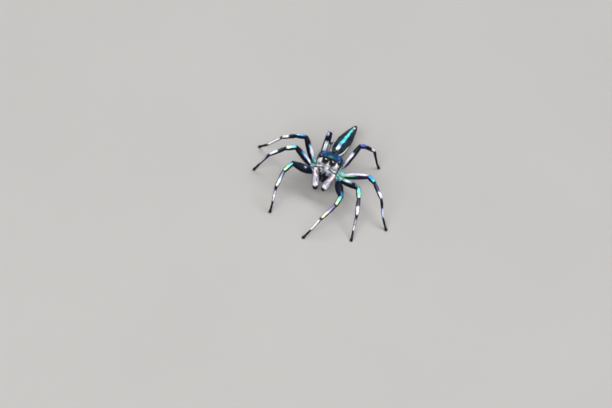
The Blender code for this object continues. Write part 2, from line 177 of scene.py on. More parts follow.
def addShell(skin, grid, paint, setae, lie, grain, cover, band, slot=0):
    # grid is rings x sides x 3; a pole closes each end; band is the strip of the unwrap (u0, u1, v0, v1)
    rings, sides = grid.shape[:2]

    def withPoles(rows):
        rows = np.asarray(rows, float)
        return np.concatenate([rows[0].mean(0)[None], rows.reshape(rings * sides, -1), rows[-1].mean(0)[None]])

    def corners(*places):  # where the corners of each face lie in the unwrap
        return np.stack([np.stack(np.broadcast_arrays(*place), 1) for place in places], 1)

    points = withPoles(grid)
    u = np.linspace(band[0], band[1], rings + 2)
    v = np.linspace(band[2], band[3], sides + 1)
    k, i = np.meshgrid(np.arange(rings - 1), np.arange(sides), indexing="ij")
    k, i = k.ravel(), i.ravel()
    here, beside = 1 + k * sides + i, 1 + k * sides + (i + 1) % sides
    quads = np.stack([here, beside, beside + sides, here + sides], 1)
    quadWrap = corners((u[k + 1], v[i]), (u[k + 1], v[i + 1]), (u[k + 2], v[i + 1]), (u[k + 2], v[i]))
    i = np.arange(sides)
    j = (i + 1) % sides
    last = 1 + (rings - 1) * sides
    middle = (v[i] + v[i + 1]) / 2
    fanA = np.stack([np.zeros_like(i), 1 + j, 1 + i], 1)
    fanB = np.stack([np.full_like(i, last + sides), last + i, last + j], 1)
    wrapA = corners((u[0], middle), (u[1], v[i + 1]), (u[1], v[i]))
    wrapB = corners((u[-1], middle), (u[-2], v[i]), (u[-2], v[i + 1]))
    triangles = np.concatenate([quads[:, [0, 1, 2]], quads[:, [0, 2, 3]], fanA, fanB])
    a, b, c = (points[triangles[:, n]] - points[0] for n in range(3))
    inward = np.einsum("ij,ij->i", a, np.cross(b, c)).sum() < 0
    for faces, wrap in ((quads, quadWrap), (fanA, wrapA), (fanB, wrapB)):
        if inward:
            faces, wrap = faces[:, ::-1], wrap[:, ::-1]
        skin["faces"].extend((faces + skin["count"]).tolist())
        skin["wrap"].append(wrap.reshape(-1, 2))
        skin["slot"].extend([slot] * len(faces))
    skin["points"].append(points)
    cover = np.concatenate([cover, np.zeros((rings, sides, 4 - cover.shape[-1]))], -1)
    for key, rows in (("paint", paint), ("setae", setae), ("lie", lie), ("grain", grain), ("cover", cover)):
        skin[key].append(withPoles(rows))
    skin["count"] += len(points)


def makeSkin(name, skin, materials):
    mesh = bpy.data.meshes.new(name)
    mesh.from_pydata((np.concatenate(skin["points"]) * mm).tolist(), [], skin["faces"])
    mesh.shade_smooth()
    made = newObject(name, mesh)
    for key, title in (("paint", "marking"), ("setae", "setae"), ("lie", "lie"), ("grain", "grain")):
        rows = np.concatenate(skin[key]).astype(np.float32)
        kind, field = ("FLOAT_COLOR", "color") if rows.shape[1] == 4 else ("FLOAT_VECTOR", "vector")
        mesh.attributes.new(title, kind, "POINT").data.foreach_set(field, rows.ravel())
    cover = np.concatenate(skin["cover"]).astype(np.float32)
    for column, title in enumerate(("scaleCover", "hairCover", "bristleCover", "beardCover")):
        values = np.ascontiguousarray(cover[:, column])
        mesh.attributes.new(title, "FLOAT", "POINT").data.foreach_set("value", values)
    wrap = np.concatenate(skin["wrap"]).astype(np.float32)
    mesh.uv_layers.new(name="wrap").data.foreach_set("uv", wrap.ravel())
    for material in materials:
        mesh.materials.append(material)
    mesh.polygons.foreach_set("material_index", skin["slot"])
    mesh.update()
    return made


def place(made, nodes, slot):
    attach(made, "root")
    if nodes:
        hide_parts(*nodes)
    return made


# Camera, floor and light

view = {
    "elevation": 48.12,  # degrees, fitted to the leg joints in the photo
    "azimuth": 7.04,
    "roll": 20.39,
    "pixelsPerMm": 12.41,
    "originPixel": (325.48, 176.05),  # where the point under the face's frame falls
    "distance": 220.0,  # mm
    "pixels": (612, 408),
}


def facing(turn, height):  # right, up and back of something that looks at the spider from there
    t, h = math.radians(turn), math.radians(height)
    back = np.array((math.sin(t) * math.cos(h), -math.cos(t) * math.cos(h), math.sin(h)))
    right = np.array((math.cos(t), math.sin(t), 0.0))
    return right, np.cross(back, right), back


def standAt(made, right, up, back, place):
    matrix = np.eye(4)
    matrix[:3] = np.column_stack((right, up, back, place))
    made.matrix_world = Matrix(matrix.tolist())


def makeCamera():
    right, up, back = facing(view["azimuth"], view["elevation"])
    roll = math.radians(view["roll"])
    right, up = right * math.cos(roll) + up * math.sin(roll), up * math.cos(roll) - right * math.sin(roll)
    width, height = view["pixels"]
    aim = right * (width / 2 - view["originPixel"][0]) / view["pixelsPerMm"]
    aim += up * (view["originPixel"][1] - height / 2) / view["pixelsPerMm"]
    data = bpy.data.cameras.new("camera")
    data.sensor_width = 36.0
    data.lens = data.sensor_width * view["distance"] / (width / view["pixelsPerMm"])
    data.clip_start, data.clip_end = 0.001, 10.0
    camera = newObject("camera", data)
    standAt(camera, right, up, back, (aim + back * view["distance"] + bodyShift) * mm)
    bpy.context.scene.camera = camera


studio = {
    "floorTone": "#979591",
    "floorShade": "#92908c",
    "floorSize": 1.2,  # m
    "mottle": 60.0,  # to a metre
    "skyTone": "#dfe6ee",
    "skyPower": 0.16,
    # turn round the spider, height angle, distance m, width and depth m, watts, tone, mirrored in the eyes
    "lamps": {
        "overhead": (176, 62, 0.30, (0.42, 0.17), 1.18, "#fbfbff", True),
        "front": (-12, 40, 0.35, (0.24, 0.24), 1.75, "#fdfdff", False),
        "side": (80, 40, 0.32, (0.24, 0.24), 0.25, "#eef4ff", False),
    },
}


def makeStudio():
    half = studio["floorSize"] / 2
    mesh = bpy.data.meshes.new("floor")
    corners = [(-half, -half, 0), (half, -half, 0), (half, half, 0), (-half, half, 0)]
    mesh.from_pydata(corners, [], [(0, 1, 2, 3)])
    floor = newObject("floor", mesh)
    # Studio paper: matt and a touch mottled, so the spider's shadow reads softly on it
    paper, tree, shader = makeMaterial("studio paper", 0.85, 0.2)
    place = addNode(tree, "ShaderNodeTexCoord").outputs["Object"]
    noise = addNode(tree, "ShaderNodeTexNoise", {"Vector": place, "Scale": studio["mottle"], "Detail": 3.0})
    shade = addNode(tree, "ShaderNodeValToRGB", {"Fac": noise.outputs["Fac"]})
    shade.color_ramp.elements[0].color = hexColour(studio["floorShade"])
    shade.color_ramp.elements[1].color = hexColour(studio["floorTone"])
    tree.links.new(shade.outputs["Color"], shader["Base Color"])
    mesh.materials.append(paper)
    floor.visible_glossy = False  # keeps the eyes black where they would mirror the pale paper
    for name, (turn, height, distance, size, watts, colour, mirrored) in studio["lamps"].items():
        lamp = bpy.data.lights.new(name, "AREA")
        lamp.shape, lamp.energy = "ELLIPSE", watts
        lamp.size, lamp.size_y = size
        lamp.color = hexColour(colour)[:3]
        made = newObject(name, lamp)
        right, up, back = facing(turn, height)
        standAt(made, right, up, back, back * distance)
        made.visible_glossy = mirrored
    world = bpy.data.worlds.new("studio air")
    world.use_nodes = True
    background = world.node_tree.nodes["Background"]
    background.inputs["Color"].default_value = hexColour(studio["skyTone"])
    background.inputs["Strength"].default_value = studio["skyPower"]
    bpy.context.scene.world = world
    bpy.context.scene.view_settings.view_transform = "Standard"  # plain colours, as the scales' own hex values


makeCamera()
makeStudio()
tell("camera, floor and light")


# Materials

cuticle = {
    "scaleLength": 0.06,  # mm, one flat scale
    "scaleWidth": 0.024,
    "hairLength": 0.2,
    "hairWidth": 0.012,
    "blotchSize": 0.45,
    "relief": 0.010,  # mm, how deep the scales stand
}


def makeCuticle(name, roughness, coat):
    # Chitin under flat scales: polished dark shell, with rows of scales pressed along the body
    made, tree, shader = makeMaterial(name, roughness, coat=coat, coatRoughness=0.18)
    grain, paint = attribute(tree, "grain")["Vector"], attribute(tree, "marking")

    def stretched(length, width):
        size = (1 / cuticle[length], 1 / cuticle[width], 1 / cuticle[width])
        return addNode(tree, "ShaderNodeMapping", {"Vector": grain, "Scale": size}).outputs["Vector"]

    cells = stretched("scaleLength", "scaleWidth")
    scales = addNode(tree, "ShaderNodeTexVoronoi", {"Vector": cells, "Scale": 1.0}).outputs
    strands = stretched("hairLength", "hairWidth")
    fur = addNode(tree, "ShaderNodeTexNoise", {"Vector": strands, "Scale": 1.0, "Detail": 2.0}).outputs["Fac"]
    clouds = {"Vector": grain, "Scale": 1 / cuticle["blotchSize"], "Detail": 3.0}
    blotch = addNode(tree, "ShaderNodeTexNoise", clouds).outputs["Fac"]
    limits = {"Value": blotch, "From Min": 0.3, "From Max": 0.7, "To Min": 0.7, "To Max": 1.15}
    cloud = addNode(tree, "ShaderNodeMapRange", limits).outputs[0]
    grey = maths(tree, "MULTIPLY", ranged(tree, scales["Color"], 0.6, 1.25), cloud)
    tree.links.new(shaded(tree, paint["Color"], grey), shader["Base Color"])
    tree.links.new(maths(tree, "MULTIPLY", paint["Alpha"], 0.8), shader["Metallic"])
    tree.links.new(ranged(tree, fur, roughness - 0.12, roughness + 0.16), shader["Roughness"])
    relief = {"Height": maths(tree, "ADD", scales["Distance"], fur), "Strength": 0.7}
    relief["Distance"] = cuticle["relief"] * mm
    tree.links.new(addNode(tree, "ShaderNodeBump", relief).outputs["Normal"], shader["Normal"])
    return made


def makeCoatMaterial(name, roughness, metal, spread, paintedRootShade, play=0.03, specular=0.5, coat=0.0):
    # One scale or hair takes the marking at its root, a little lighter or darker than its neighbour
    made, tree, shader = makeMaterial(name, roughness, specular, coat, 0.15)
    paint, chance = attribute(tree, "marking"), attribute(tree, "chance")["Fac"]
    level = ranged(tree, chance, 1 - spread, 1 + spread)
    # darker at each tuft's root, lighter at its tip: painted shade where the tufts lie over each other
    root = ranged(tree, attribute(tree, "tip")["Fac"], paintedRootShade, 1.1)
    colour = shaded(tree, paint["Color"], maths(tree, "MULTIPLY", level, root))
    turn = ranged(tree, chance, 0.5 + play, 0.5 - play)
    hue = addNode(tree, "ShaderNodeHueSaturation", {"Color": colour, "Hue": turn})
    tree.links.new(hue.outputs["Color"], shader["Base Color"])
    tree.links.new(maths(tree, "MULTIPLY", paint["Alpha"], metal), shader["Metallic"])
    tree.links.new(ranged(tree, chance, roughness - 0.08, roughness + 0.14), shader["Roughness"])
    return made


def makeLens():
    # Eye lens: clear, wet-looking cuticle over a nearly black pit, with a brown edge and a faint brown ring that
    # is a painted reflection
    made, tree, shader = makeMaterial("eye lens cuticle", 0.05, specular=0.6, coat=1.0, coatRoughness=0.04)
    shader["Coat IOR"].default_value = 1.9
    place = addNode(tree, "ShaderNodeTexCoord").outputs["Object"]
    haze = addNode(tree, "ShaderNodeTexNoise", {"Vector": place, "Scale": 9000.0, "Detail": 2.0}).outputs["Fac"]
    colour = shaded(tree, attribute(tree, "marking")["Color"], ranged(tree, haze, 0.6, 1.4))
    tree.links.new(colour, shader["Base Color"])
    tree.links.new(ranged(tree, haze, 0.04, 0.12), shader["Roughness"])
    return made


shellCuticle = makeCuticle("scaled chitin", 0.36, 0.25)  # carapace, abdomen, legs: dark and polished
softCuticle = makeCuticle("haired cuticle", 0.55, 0.0)  # palps, mouthparts: duller, under hair
# thin flat plates that flash
scaleMaterial = makeCoatMaterial("iridescent scales", 0.40, 0.5, 0.45, 0.85, play=0.06, specular=0.35, coat=0.1)
hairMaterial = makeCoatMaterial("setae", 0.48, 0.1, 0.35, 0.85)  # fine hair, softly shining
bristleMaterial = makeCoatMaterial("bristles", 0.30, 0.0, 0.2, 0.8)  # stiff dark spines
lensMaterial = makeLens()
tell("materials")


# Tufts and the coat


def scaleTuft(name, widest, halfWidth, skew, lift):
    # one flat pointed scale, a closed body: root at 0, tip at x = 1
    points, tips = [(-0.05, 0.0, -0.03)], [0.0]
    for x, half, ridge in ((widest * 0.45, halfWidth * 0.8, 0.025), (widest, halfWidth, 0.04)):
        z = lift * x
        points += [(x, -half + skew * x, z), (x, half + skew * x, z), (x, skew * x, z + ridge)]
        tips += [x] * 3
    points.append((1.0, skew, lift * 0.6))
    tips.append(1.0)
    faces = [(0, 2, 1), (0, 3, 2), (0, 1, 3), (1, 2, 5, 4), (2, 3, 6, 5), (3, 1, 4, 6)]
    faces += [(4, 5, 7), (5, 6, 7), (6, 4, 7)]
    return tuftObject(name, points, faces, tips)


def hairTuft(name, strands, radius, bend, fan, seed):
    # a few three-sided hairs from one root, each bent over and closed
    rng = np.random.default_rng(seed)
    points, faces, tips = [], [], []
    upward = np.array((0, 0, 1))
    for strand in range(strands):
        turn = math.radians(fan) * (strand - (strands - 1) / 2) / max(strands - 1, 1) + rng.normal() * 0.05
        reach = rng.uniform(0.8, 1.0)
        heading = np.array((math.cos(turn), math.sin(turn), 0.0))
        across = np.array((-math.sin(turn), math.cos(turn), 0.0))
        base = len(points)
        for x, thick in ((-0.06, 1.0), (0.4, 0.85), (0.75, 0.55)):
            centre = heading * x * reach + upward * (bend * (1 - (1 - max(x, 0)) ** 2))
            for corner in range(3):
                angle = 2 * math.pi * corner / 3 + math.pi / 2
                out = across * math.cos(angle) * radius * thick + upward * math.sin(angle) * radius * thick
                points.append(centre + out)
                tips.append(max(x, 0.0))
        points.append(heading * reach + upward * (bend * 0.9))
        tips.append(1.0)
        faces.append((base, base + 2, base + 1))
        for row in (base, base + 3):
            for corner in range(3):
                after = (corner + 1) % 3
                faces.append((row + corner, row + after, row + 3 + after, row + 3 + corner))
        for corner in range(3):
            faces.append((base + 6 + corner, base + 6 + (corner + 1) % 3, base + 9))
    return tuftObject(name, points, faces, tips)


def tuftObject(name, points, faces, tips):
    mesh = bpy.data.meshes.new(name)
    mesh.from_pydata([tuple(map(float, p)) for p in points], [], faces)
    triangles = [(f[0], f[n], f[n + 1]) for f in faces for n in range(1, len(f) - 1)]
    corners = np.array(points, float)[np.array(triangles)]
    if np.einsum("ij,ij->i", corners[:, 0], np.cross(corners[:, 1], corners[:, 2])).sum() < 0:
        mesh.flip_normals()
    mesh.attributes.new("tip", "FLOAT", "POINT").data.foreach_set("value", tips)
    leaf = mesh.uv_layers.new(name="leaf")
    low, high = np.min(points, 0), np.max(points, 0)
    for loop, corner in zip(mesh.loops, leaf.data):
        x, y, _ = points[loop.vertex_index]
        corner.uv = ((x - low[0]) / (high[0] - low[0]), (y - low[1]) / (high[1] - low[1]))
    mesh.shade_smooth()
    return bpy.data.objects.new(name, mesh)


def tuftSet(name, make, *rows):
    group = bpy.data.collections.new(name)
    for row in rows:
        group.objects.link(make(*row))
    return group


# name, widest place, half width, skew, lift
scaleRows = (
    ("scaleA", 0.55, 0.20, 0.0, 0.10),
    ("scaleB", 0.62, 0.23, 0.05, 0.13),
    ("scaleC", 0.50, 0.18, -0.06, 0.08),
)
# name, strands, radius, bend, fan in degrees, seed
hairRows = (
    ("hairA", 3, 0.040, 0.16, 26, 1),
    ("hairB", 2, 0.042, 0.10, 18, 2),
    ("hairC", 3, 0.036, 0.22, 34, 3),
)
bristleRows = (("bristleA", 1, 0.030, 0.10, 0, 4), ("bristleB", 1, 0.026, 0.22, 0, 5))
scaleSet = tuftSet("scale shapes", scaleTuft, *scaleRows)
hairSet = tuftSet("hair shapes", hairTuft, *hairRows)
bristleSet = tuftSet("bristle shapes", hairTuft, *bristleRows)

coatInputs = {
    "Geometry": ("skin",),
    "Collection": ("tufts",),
    "String": ("cover", "tone"),
    "Float": ("perSquareMm", "length", "lengthSpread", "width", "lean", "leanSpread", "swirl", "patch"),
    "Int": ("seed",),
    "Material": ("finish",),
}


def makeCoatTree():
    tree = bpy.data.node_groups.new("coat", "GeometryNodeTree")
    for kind, names in coatInputs.items():
        for name in names:
            tree.interface.new_socket(name, in_out="INPUT", socket_type=f"NodeSocket{kind}")
    tree.interface.new_socket("coat", in_out="OUTPUT", socket_type="NodeSocketGeometry")
    given = addNode(tree, "NodeGroupInput").outputs

    def named(name, kind):
        return addNode(tree, "GeometryNodeInputNamedAttribute", {"Name": name}, data_type=kind).outputs[0]

    def stored(geometry, name, value, kind, domain="POINT"):
        inputs = {"Geometry": geometry, "Name": name, "Value": value}
        store = "GeometryNodeStoreNamedAttribute"
        return addNode(tree, store, inputs, data_type=kind, domain=domain).outputs[0]

    def drawn(low, high, shift):  # a chance value for each root
        inputs = {2: low, 3: high, 8: maths(tree, "ADD", given["seed"], shift)}
        return addNode(tree, "FunctionNodeRandomValue", inputs, data_type="FLOAT").outputs[1]

    def vectors(operation, inputs):
        return addNode(tree, "ShaderNodeVectorMath", inputs, operation=operation).outputs[0]

    closest = 0.62  # share of the mean spacing
    tries = 1.6e6  # roots tried to the square metre, for one asked to the square millimetre
    spacing = maths(tree, "POWER", given["perSquareMm"], -0.5)
    scatter = {
        "Mesh": given["skin"],
        "Distance Min": maths(tree, "MULTIPLY", spacing, closest * mm),
        "Density Max": maths(tree, "MULTIPLY", given["perSquareMm"], tries),  # some fall away as too close
        "Density Factor": named(given["cover"], "FLOAT"),
        "Seed": given["seed"],
    }
    roots = addNode(tree, "GeometryNodeDistributePointsOnFaces", scatter, distribute_method="POISSON").outputs
    painted = stored(roots["Points"], "marking", named(given["tone"], "FLOAT_COLOR"), "FLOAT_COLOR")
    lucky = stored(painted, "chance", drawn(0.0, 1.0, 0.0), "FLOAT")
    # each tuft stands on its root, leans along the skin's lie and turns a little aside
    axes = {"Primary Axis": roots["Normal"], "Secondary Axis": named("lie", "FLOAT_VECTOR")}
    stand = addNode(tree, "FunctionNodeAxesToRotation", axes, primary_axis="Z", secondary_axis="X").outputs[0]
    lowLean = maths(tree, "SUBTRACT", given["lean"], given["leanSpread"])
    highLean = maths(tree, "ADD", given["lean"], given["leanSpread"])
    pitch = maths(tree, "MULTIPLY", drawn(lowLean, highLean, 11.0), -math.pi / 180)
    swirl = maths(tree, "MULTIPLY", given["swirl"], -1.0)
    yaw = maths(tree, "MULTIPLY", drawn(swirl, given["swirl"], 23.0), math.pi / 180)
    euler = addNode(tree, "ShaderNodeCombineXYZ", {"Y": pitch, "Z": yaw}).outputs[0]
    tilt = addNode(tree, "FunctionNodeEulerToRotation", {0: euler}).outputs[0]
    turned = addNode(tree, "FunctionNodeRotateRotation", {0: stand, 1: tilt}, rotation_space="LOCAL").outputs[0]
    shortest = maths(tree, "SUBTRACT", 1.0, given["lengthSpread"])
    longest = maths(tree, "ADD", 1.0, given["lengthSpread"])
    reach = maths(tree, "MULTIPLY", drawn(shortest, longest, 37.0), given["length"])
    metres = maths(tree, "MULTIPLY", reach, mm)
    across = maths(tree, "MULTIPLY", metres, given["width"])
    apart = {"Collection": given["tufts"], "Separate Children": True, "Reset Children": True}
    shapes = addNode(tree, "GeometryNodeCollectionInfo", apart).outputs[0]
    limits = {4: 0, 5: 2, 8: given["seed"]}
    pick = addNode(tree, "FunctionNodeRandomValue", limits, data_type="INT").outputs[2]
    instances = {
        "Points": lucky,
        "Instance": shapes,
        "Pick Instance": True,
        "Instance Index": pick,
        "Rotation": turned,
        "Scale": addNode(tree, "ShaderNodeCombineXYZ", {"X": metres, "Y": across, "Z": metres}).outputs[0],
    }
    tufts = addNode(tree, "GeometryNodeInstanceOnPoints", instances).outputs[0]
    real = addNode(tree, "GeometryNodeRealizeInstances", {0: tufts}).outputs[0]
    # each tuft is unwrapped on a small patch of its own round its root's place
    middle = vectors("SUBTRACT", {0: named("leaf", "FLOAT_VECTOR"), 1: (0.5, 0.5, 0.0)})
    small = vectors("SCALE", {0: middle, "Scale": given["patch"]})
    spot = vectors("ADD", {0: named("wrap", "FLOAT_VECTOR"), 1: small})
    unwrapped = stored(real, "OFBake", spot, "FLOAT2", "CORNER")
    finished = addNode(tree, "GeometryNodeSetMaterial", {"Geometry": unwrapped, "Material": given["finish"]})
    addNode(tree, "NodeGroupOutput", {"coat": finished.outputs[0]})
    return tree


coatTree = makeCoatTree()
coatSockets = {item.name: item.identifier for item in coatTree.interface.items_tree if item.in_out == "INPUT"}
coatCounts = []
patchSize = 0.003  # a tuft's share of the unwrap's width
lowest = 0.002  # mm, nothing reaches below the floor

coatKinds = {
    "scales": (scaleSet, scaleMaterial, "scaleCover"),
    "hair": (hairSet, hairMaterial, "hairCover"),
    "beard": (hairSet, hairMaterial, "beardCover"),
    "bristles": (bristleSet, bristleMaterial, "bristleCover"),
}

# kind and tone, then perSquareMm, length in mm, lengthSpread, width, lean and leanSpread in degrees, swirl
coats = {
    "carapaceScales": ("scales", "marking", 560, 0.10, 0.25, 1.05, 4, 3, 12),
    "faceHair": ("hair", "setae", 430, 0.085, 0.25, 1.5, 14, 7, 22),
    "beardHair": ("beard", "setae", 240, 0.20, 0.25, 1.0, 22, 10, 26),
    "frontBristles": ("bristles", "setae", 40, 0.28, 0.25, 1.0, 42, 16, 30),
    "legScales": ("scales", "marking", 520, 0.085, 0.25, 1.0, 4, 3, 12),
    "legHair": ("hair", "setae", 150, 0.10, 0.25, 1.0, 20, 10, 18),
    "legBristles": ("bristles", "setae", 26, 0.19, 0.4, 1.0, 34, 16, 25),
    "palpHair": ("hair", "marking", 520, 0.12, 0.25, 1.3, 22, 10, 20),
    "palpBristles": ("bristles", "setae", 40, 0.20, 0.25, 1.0, 34, 14, 25),
    "jawHair": ("hair", "setae", 420, 0.15, 0.25, 1.0, 20, 10, 24),
    "jawBristles": ("bristles", "setae", 60, 0.22, 0.25, 1.0, 35, 14, 30),
    "abdomenScales": ("scales", "marking", 760, 0.095, 0.25, 0.95, 4, 3, 10),
    "abdomenHair": ("hair", "setae", 110, 0.13, 0.25, 1.0, 16, 8, 16),
    "abdomenBristles": ("bristles", "setae", 22, 0.30, 0.25, 1.0, 34, 12, 20),
    "spinneretHair": ("hair", "marking", 420, 0.07, 0.25, 1.0, 14, 8, 20),
}


def growCoat(name, skin, slot, coat, seed):
    kind, colour, *sizes = coats[coat]
    tufts, finish, cover = coatKinds[kind]
    values = {"tufts": tufts, "finish": finish, "cover": cover, "tone": colour, "seed": seed}
    values.update(zip(coatInputs["Float"], (*sizes, patchSize)))
    ground = newObject(name, skin.data)
    grower = ground.modifiers.new("coat", "NODES")
    grower.node_group = coatTree
    for key, value in values.items():
        grower[coatSockets[key]] = value
    bpy.context.view_layer.update()
    graph = bpy.context.evaluated_depsgraph_get()
    grown = ground.evaluated_get(graph)
    mesh = bpy.data.meshes.new_from_object(grown, preserve_all_data_layers=True, depsgraph=graph)
    ground.modifiers.clear()
    ground.data = mesh
    mesh.name = name
    keep = {"marking", "chance", "tip", "OFBake", "position", "material_index", "sharp_face"}
    for title in [a.name for a in mesh.attributes if a.name not in keep and not a.name.startswith(".")]:
        mesh.attributes.remove(mesh.attributes[title])
    points = np.empty(len(mesh.vertices) * 3, np.float32)
    mesh.vertices.foreach_get("co", points)
    points[2::3] = np.maximum(points[2::3], lowest * mm)
    mesh.vertices.foreach_set("co", points)
    mesh.update()
    mesh.calc_loop_triangles()
    coatCounts.append(len(mesh.loop_triangles))
    print(f"  {name}: {coatCounts[-1]} triangles")
    place(ground, [], slot)


# Front body

unevenness = 0.004  # mm, how far the skins wander off their forms

front = {
    "coxaHeight": 1.38,
    "lift": 24.0,  # degrees, the face looks up
    "turn": 4.0,
    "faceY": -1.50,
    "rearY": 1.50,
    "marginZ": 0.10,
    "topPower": 3.4,
    "underPower": 2.2,
    "inset": 0.03,  # the skin lies this far inside the solid, under the scales
    # y, half width, top, bottom
    "stations": (
        (-1.50, 0.66, 1.00, 0.24),
        (-1.44, 0.84, 1.09, 0.10),
        (-1.22, 0.95, 1.15, -0.12),
        (-0.80, 1.02, 1.19, -0.36),
        (-0.35, 1.06, 1.17, -0.48),
        (0.05, 1.08, 1.05, -0.52),
        (0.45, 1.07, 0.87, -0.52),
        (0.82, 0.99, 0.67, -0.46),
        (1.14, 0.82, 0.48, -0.34),
        (1.38, 0.54, 0.32, -0.18),
        (1.50, 0.22, 0.22, -0.02),
    ),
    "coxae": {
        1: ((0.32, -0.68, -0.32), (0.90, -0.99, -0.42)),
        2: ((0.38, -0.34, -0.34), (1.04, -0.45, -0.41)),
        3: ((0.38, 0.10, -0.32), (1.05, 0.12, -0.33)),
        4: ((0.30, 0.62, -0.24), (0.76, 1.05, -0.20)),
    },
    "topTone": "#0e3878",
    "shimmerTone": "#1b7aa0",
    "crownTone": "#3cb4a8",
    "cornerTone": "#1f68fa",
    "rimTone": "#08080c",
    "flankTone": "#15343e",
    "patchTone": "#52e0ff",
    "paleTone": "#f4fffc",
    "silverTone": "#eceffa",
    "ashTone": "#666a76",
    # hair on the face, the same on both sides: from and to (x, z), sharp within, gone beyond, tone
    "faceMarks": (
        ((0.10, 0.55), (0.28, 0.52), 0.05, 0.10, "#a4a6a4"),
        ((0.66, 0.90), (0.70, 0.60), 0.08, 0.14, "#fffdf8"),
        ((0.72, 0.52), (0.74, 0.44), 0.06, 0.12, "#a2a4a8"),
        ((0.0, 1.00), (0.05, 0.62), 0.05, 0.12, "#fffdf4"),
        ((0.0, 0.24), (0.14, 0.38), 0.025, 0.06, "#ffffff"),
        ((0.16, 0.24), (0.30, 0.40), 0.01, 0.05, "#2c303a"),
        ((0.42, 0.37), (0.82, 0.22), 0.035, 0.07, "#ffffff"),
        ((0.28, 0.28), (0.80, 0.09), 0.03, 0.06, "#08080e"),
        ((0.34, 0.46), (0.76, 0.36), 0.02, 0.05, "#3c404c"),
    ),
    "underTone": "#22242c",
}


def frontMatrix():
    lift, turn = math.radians(-front["lift"]), math.radians(front["turn"])
    tip = np.array(((1, 0, 0), (0, math.cos(lift), -math.sin(lift)), (0, math.sin(lift), math.cos(lift))))
    spin = np.array(((math.cos(turn), -math.sin(turn), 0), (math.sin(turn), math.cos(turn), 0), (0, 0, 1)))
    pivot = np.array((0.0, front["faceY"] * math.cos(lift), 0.0))
    return spin @ tip, pivot - spin @ pivot + np.array((0, 0, front["coxaHeight"])) + bodyShift


frontTurn, frontOffset = frontMatrix()


def frontPoint(points):
    return np.asarray(points, float) @ frontTurn.T + frontOffset


def frontHeading(vectors):
    return np.asarray(vectors, float) @ frontTurn.T


def sideSign(side):
    return 1.0 if side == "left" else -1.0  # the spider's left is +X


def superAngle(angle, power):
    c, s = np.cos(angle), np.sin(angle)
    return np.sign(c) * np.abs(c) ** (2 / power), np.sign(s) * np.abs(s) ** (2 / power)


def sectionGrid(ys, halves, tops, bottoms, sides, topPower, underPower, margin):
    angle = 2 * math.pi * (np.arange(sides) + 0.5) / sides
    above = np.sin(angle) > 0
    xTop, zTop = superAngle(angle, topPower)
    xUnder, zUnder = superAngle(angle, underPower)
    x = halves[:, None] * np.where(above, xTop, xUnder)[None]
    reach = np.where(above[None], (tops - margin)[:, None], (margin - bottoms)[:, None])
    z = margin + np.maximum(reach, 0.01) * np.where(above, zTop, zUnder)[None]
    y = np.repeat(ys[:, None], sides, 1)
    return np.stack([x, y, z], -1)


eyes = {
    # centre in the front body's frame, radius, the way it looks
    "eye_front_main": {"centre": (0.31, -1.44, 0.84), "radius": 0.25, "looks": (0.05, -1.0, 0.10)},
    "eye_front_side": {"centre": (0.78, -1.26, 0.99), "radius": 0.15, "looks": (0.42, -0.85, 0.36)},
    "eye_small": {"centre": (0.90, -0.84, 0.98), "radius": 0.07, "looks": (0.80, -0.10, 0.60)},
    "eye_rear": {"centre": (0.84, -0.38, 0.98), "radius": 0.14, "looks": (0.78, 0.28, 0.60)},
    "sideBulge": 0.72,  # the small lenses are flatter than half balls
    # how far out of the socket and how wide each ring of the collar is, in eye radii
    "collar": (
        (0.10, 0.70),
        (0.26, 0.93),
        (0.34, 0.965),
        (0.33, 1.01),
        (0.20, 1.07),
        (-0.05, 1.11),
        (-0.42, 1.08),
        (-0.50, 0.60),
    ),
    "segments": 48,
    "rings": 32,
    "pitTone": "#020203",
    "edgeTone": "#0d0705",
    # painted reflection: a faint brown ring round the middle of the lens
    "glowTone": "#1c0c04",
}
eyeNames = [name for name in eyes if name.startswith("eye_")]


def spotWeight(points, centre, size):  # soft spot in the front body's frame, the same on both sides
    near = np.abs(points[..., 0]) - centre[0]
    back, high = points[..., 1] - centre[1], points[..., 2] - centre[2]
    return 1 - smooth(0.55, 1.0, np.sqrt((near / size[0]) ** 2 + (back / size[1]) ** 2 + (high / size[2]) ** 2))


def eyeDistance(name, x, y, z):
    centre = eyes[name]["centre"]
    return np.sqrt((x - centre[0]) ** 2 + (y - centre[1]) ** 2 + (z - centre[2]) ** 2)


def sparkle(points):
    # bright scales at the leg roots: white, turquoise, sky blue and lime in small patches
    return layered(
        flood(points[..., 0], front["patchTone"]),
        ("#2a8cff", 0.05, smooth(0.15, 0.3, ripple(points, 0.36, 5))),
        ("#8cffe8", 0.0, smooth(0.1, 0.25, ripple(points, 0.33, 17))),
        (front["paleTone"], 0.0, smooth(-0.2, -0.05, ripple(points, 0.30, 6))),
        ("#b4ff9c", 0.0, smooth(0.35, 0.5, ripple(points, 0.28, 15))),
        ("#06284a", 0.2, smooth(0.35, 0.5, ripple(points, 0.27, 16)) * 0.9),
    )


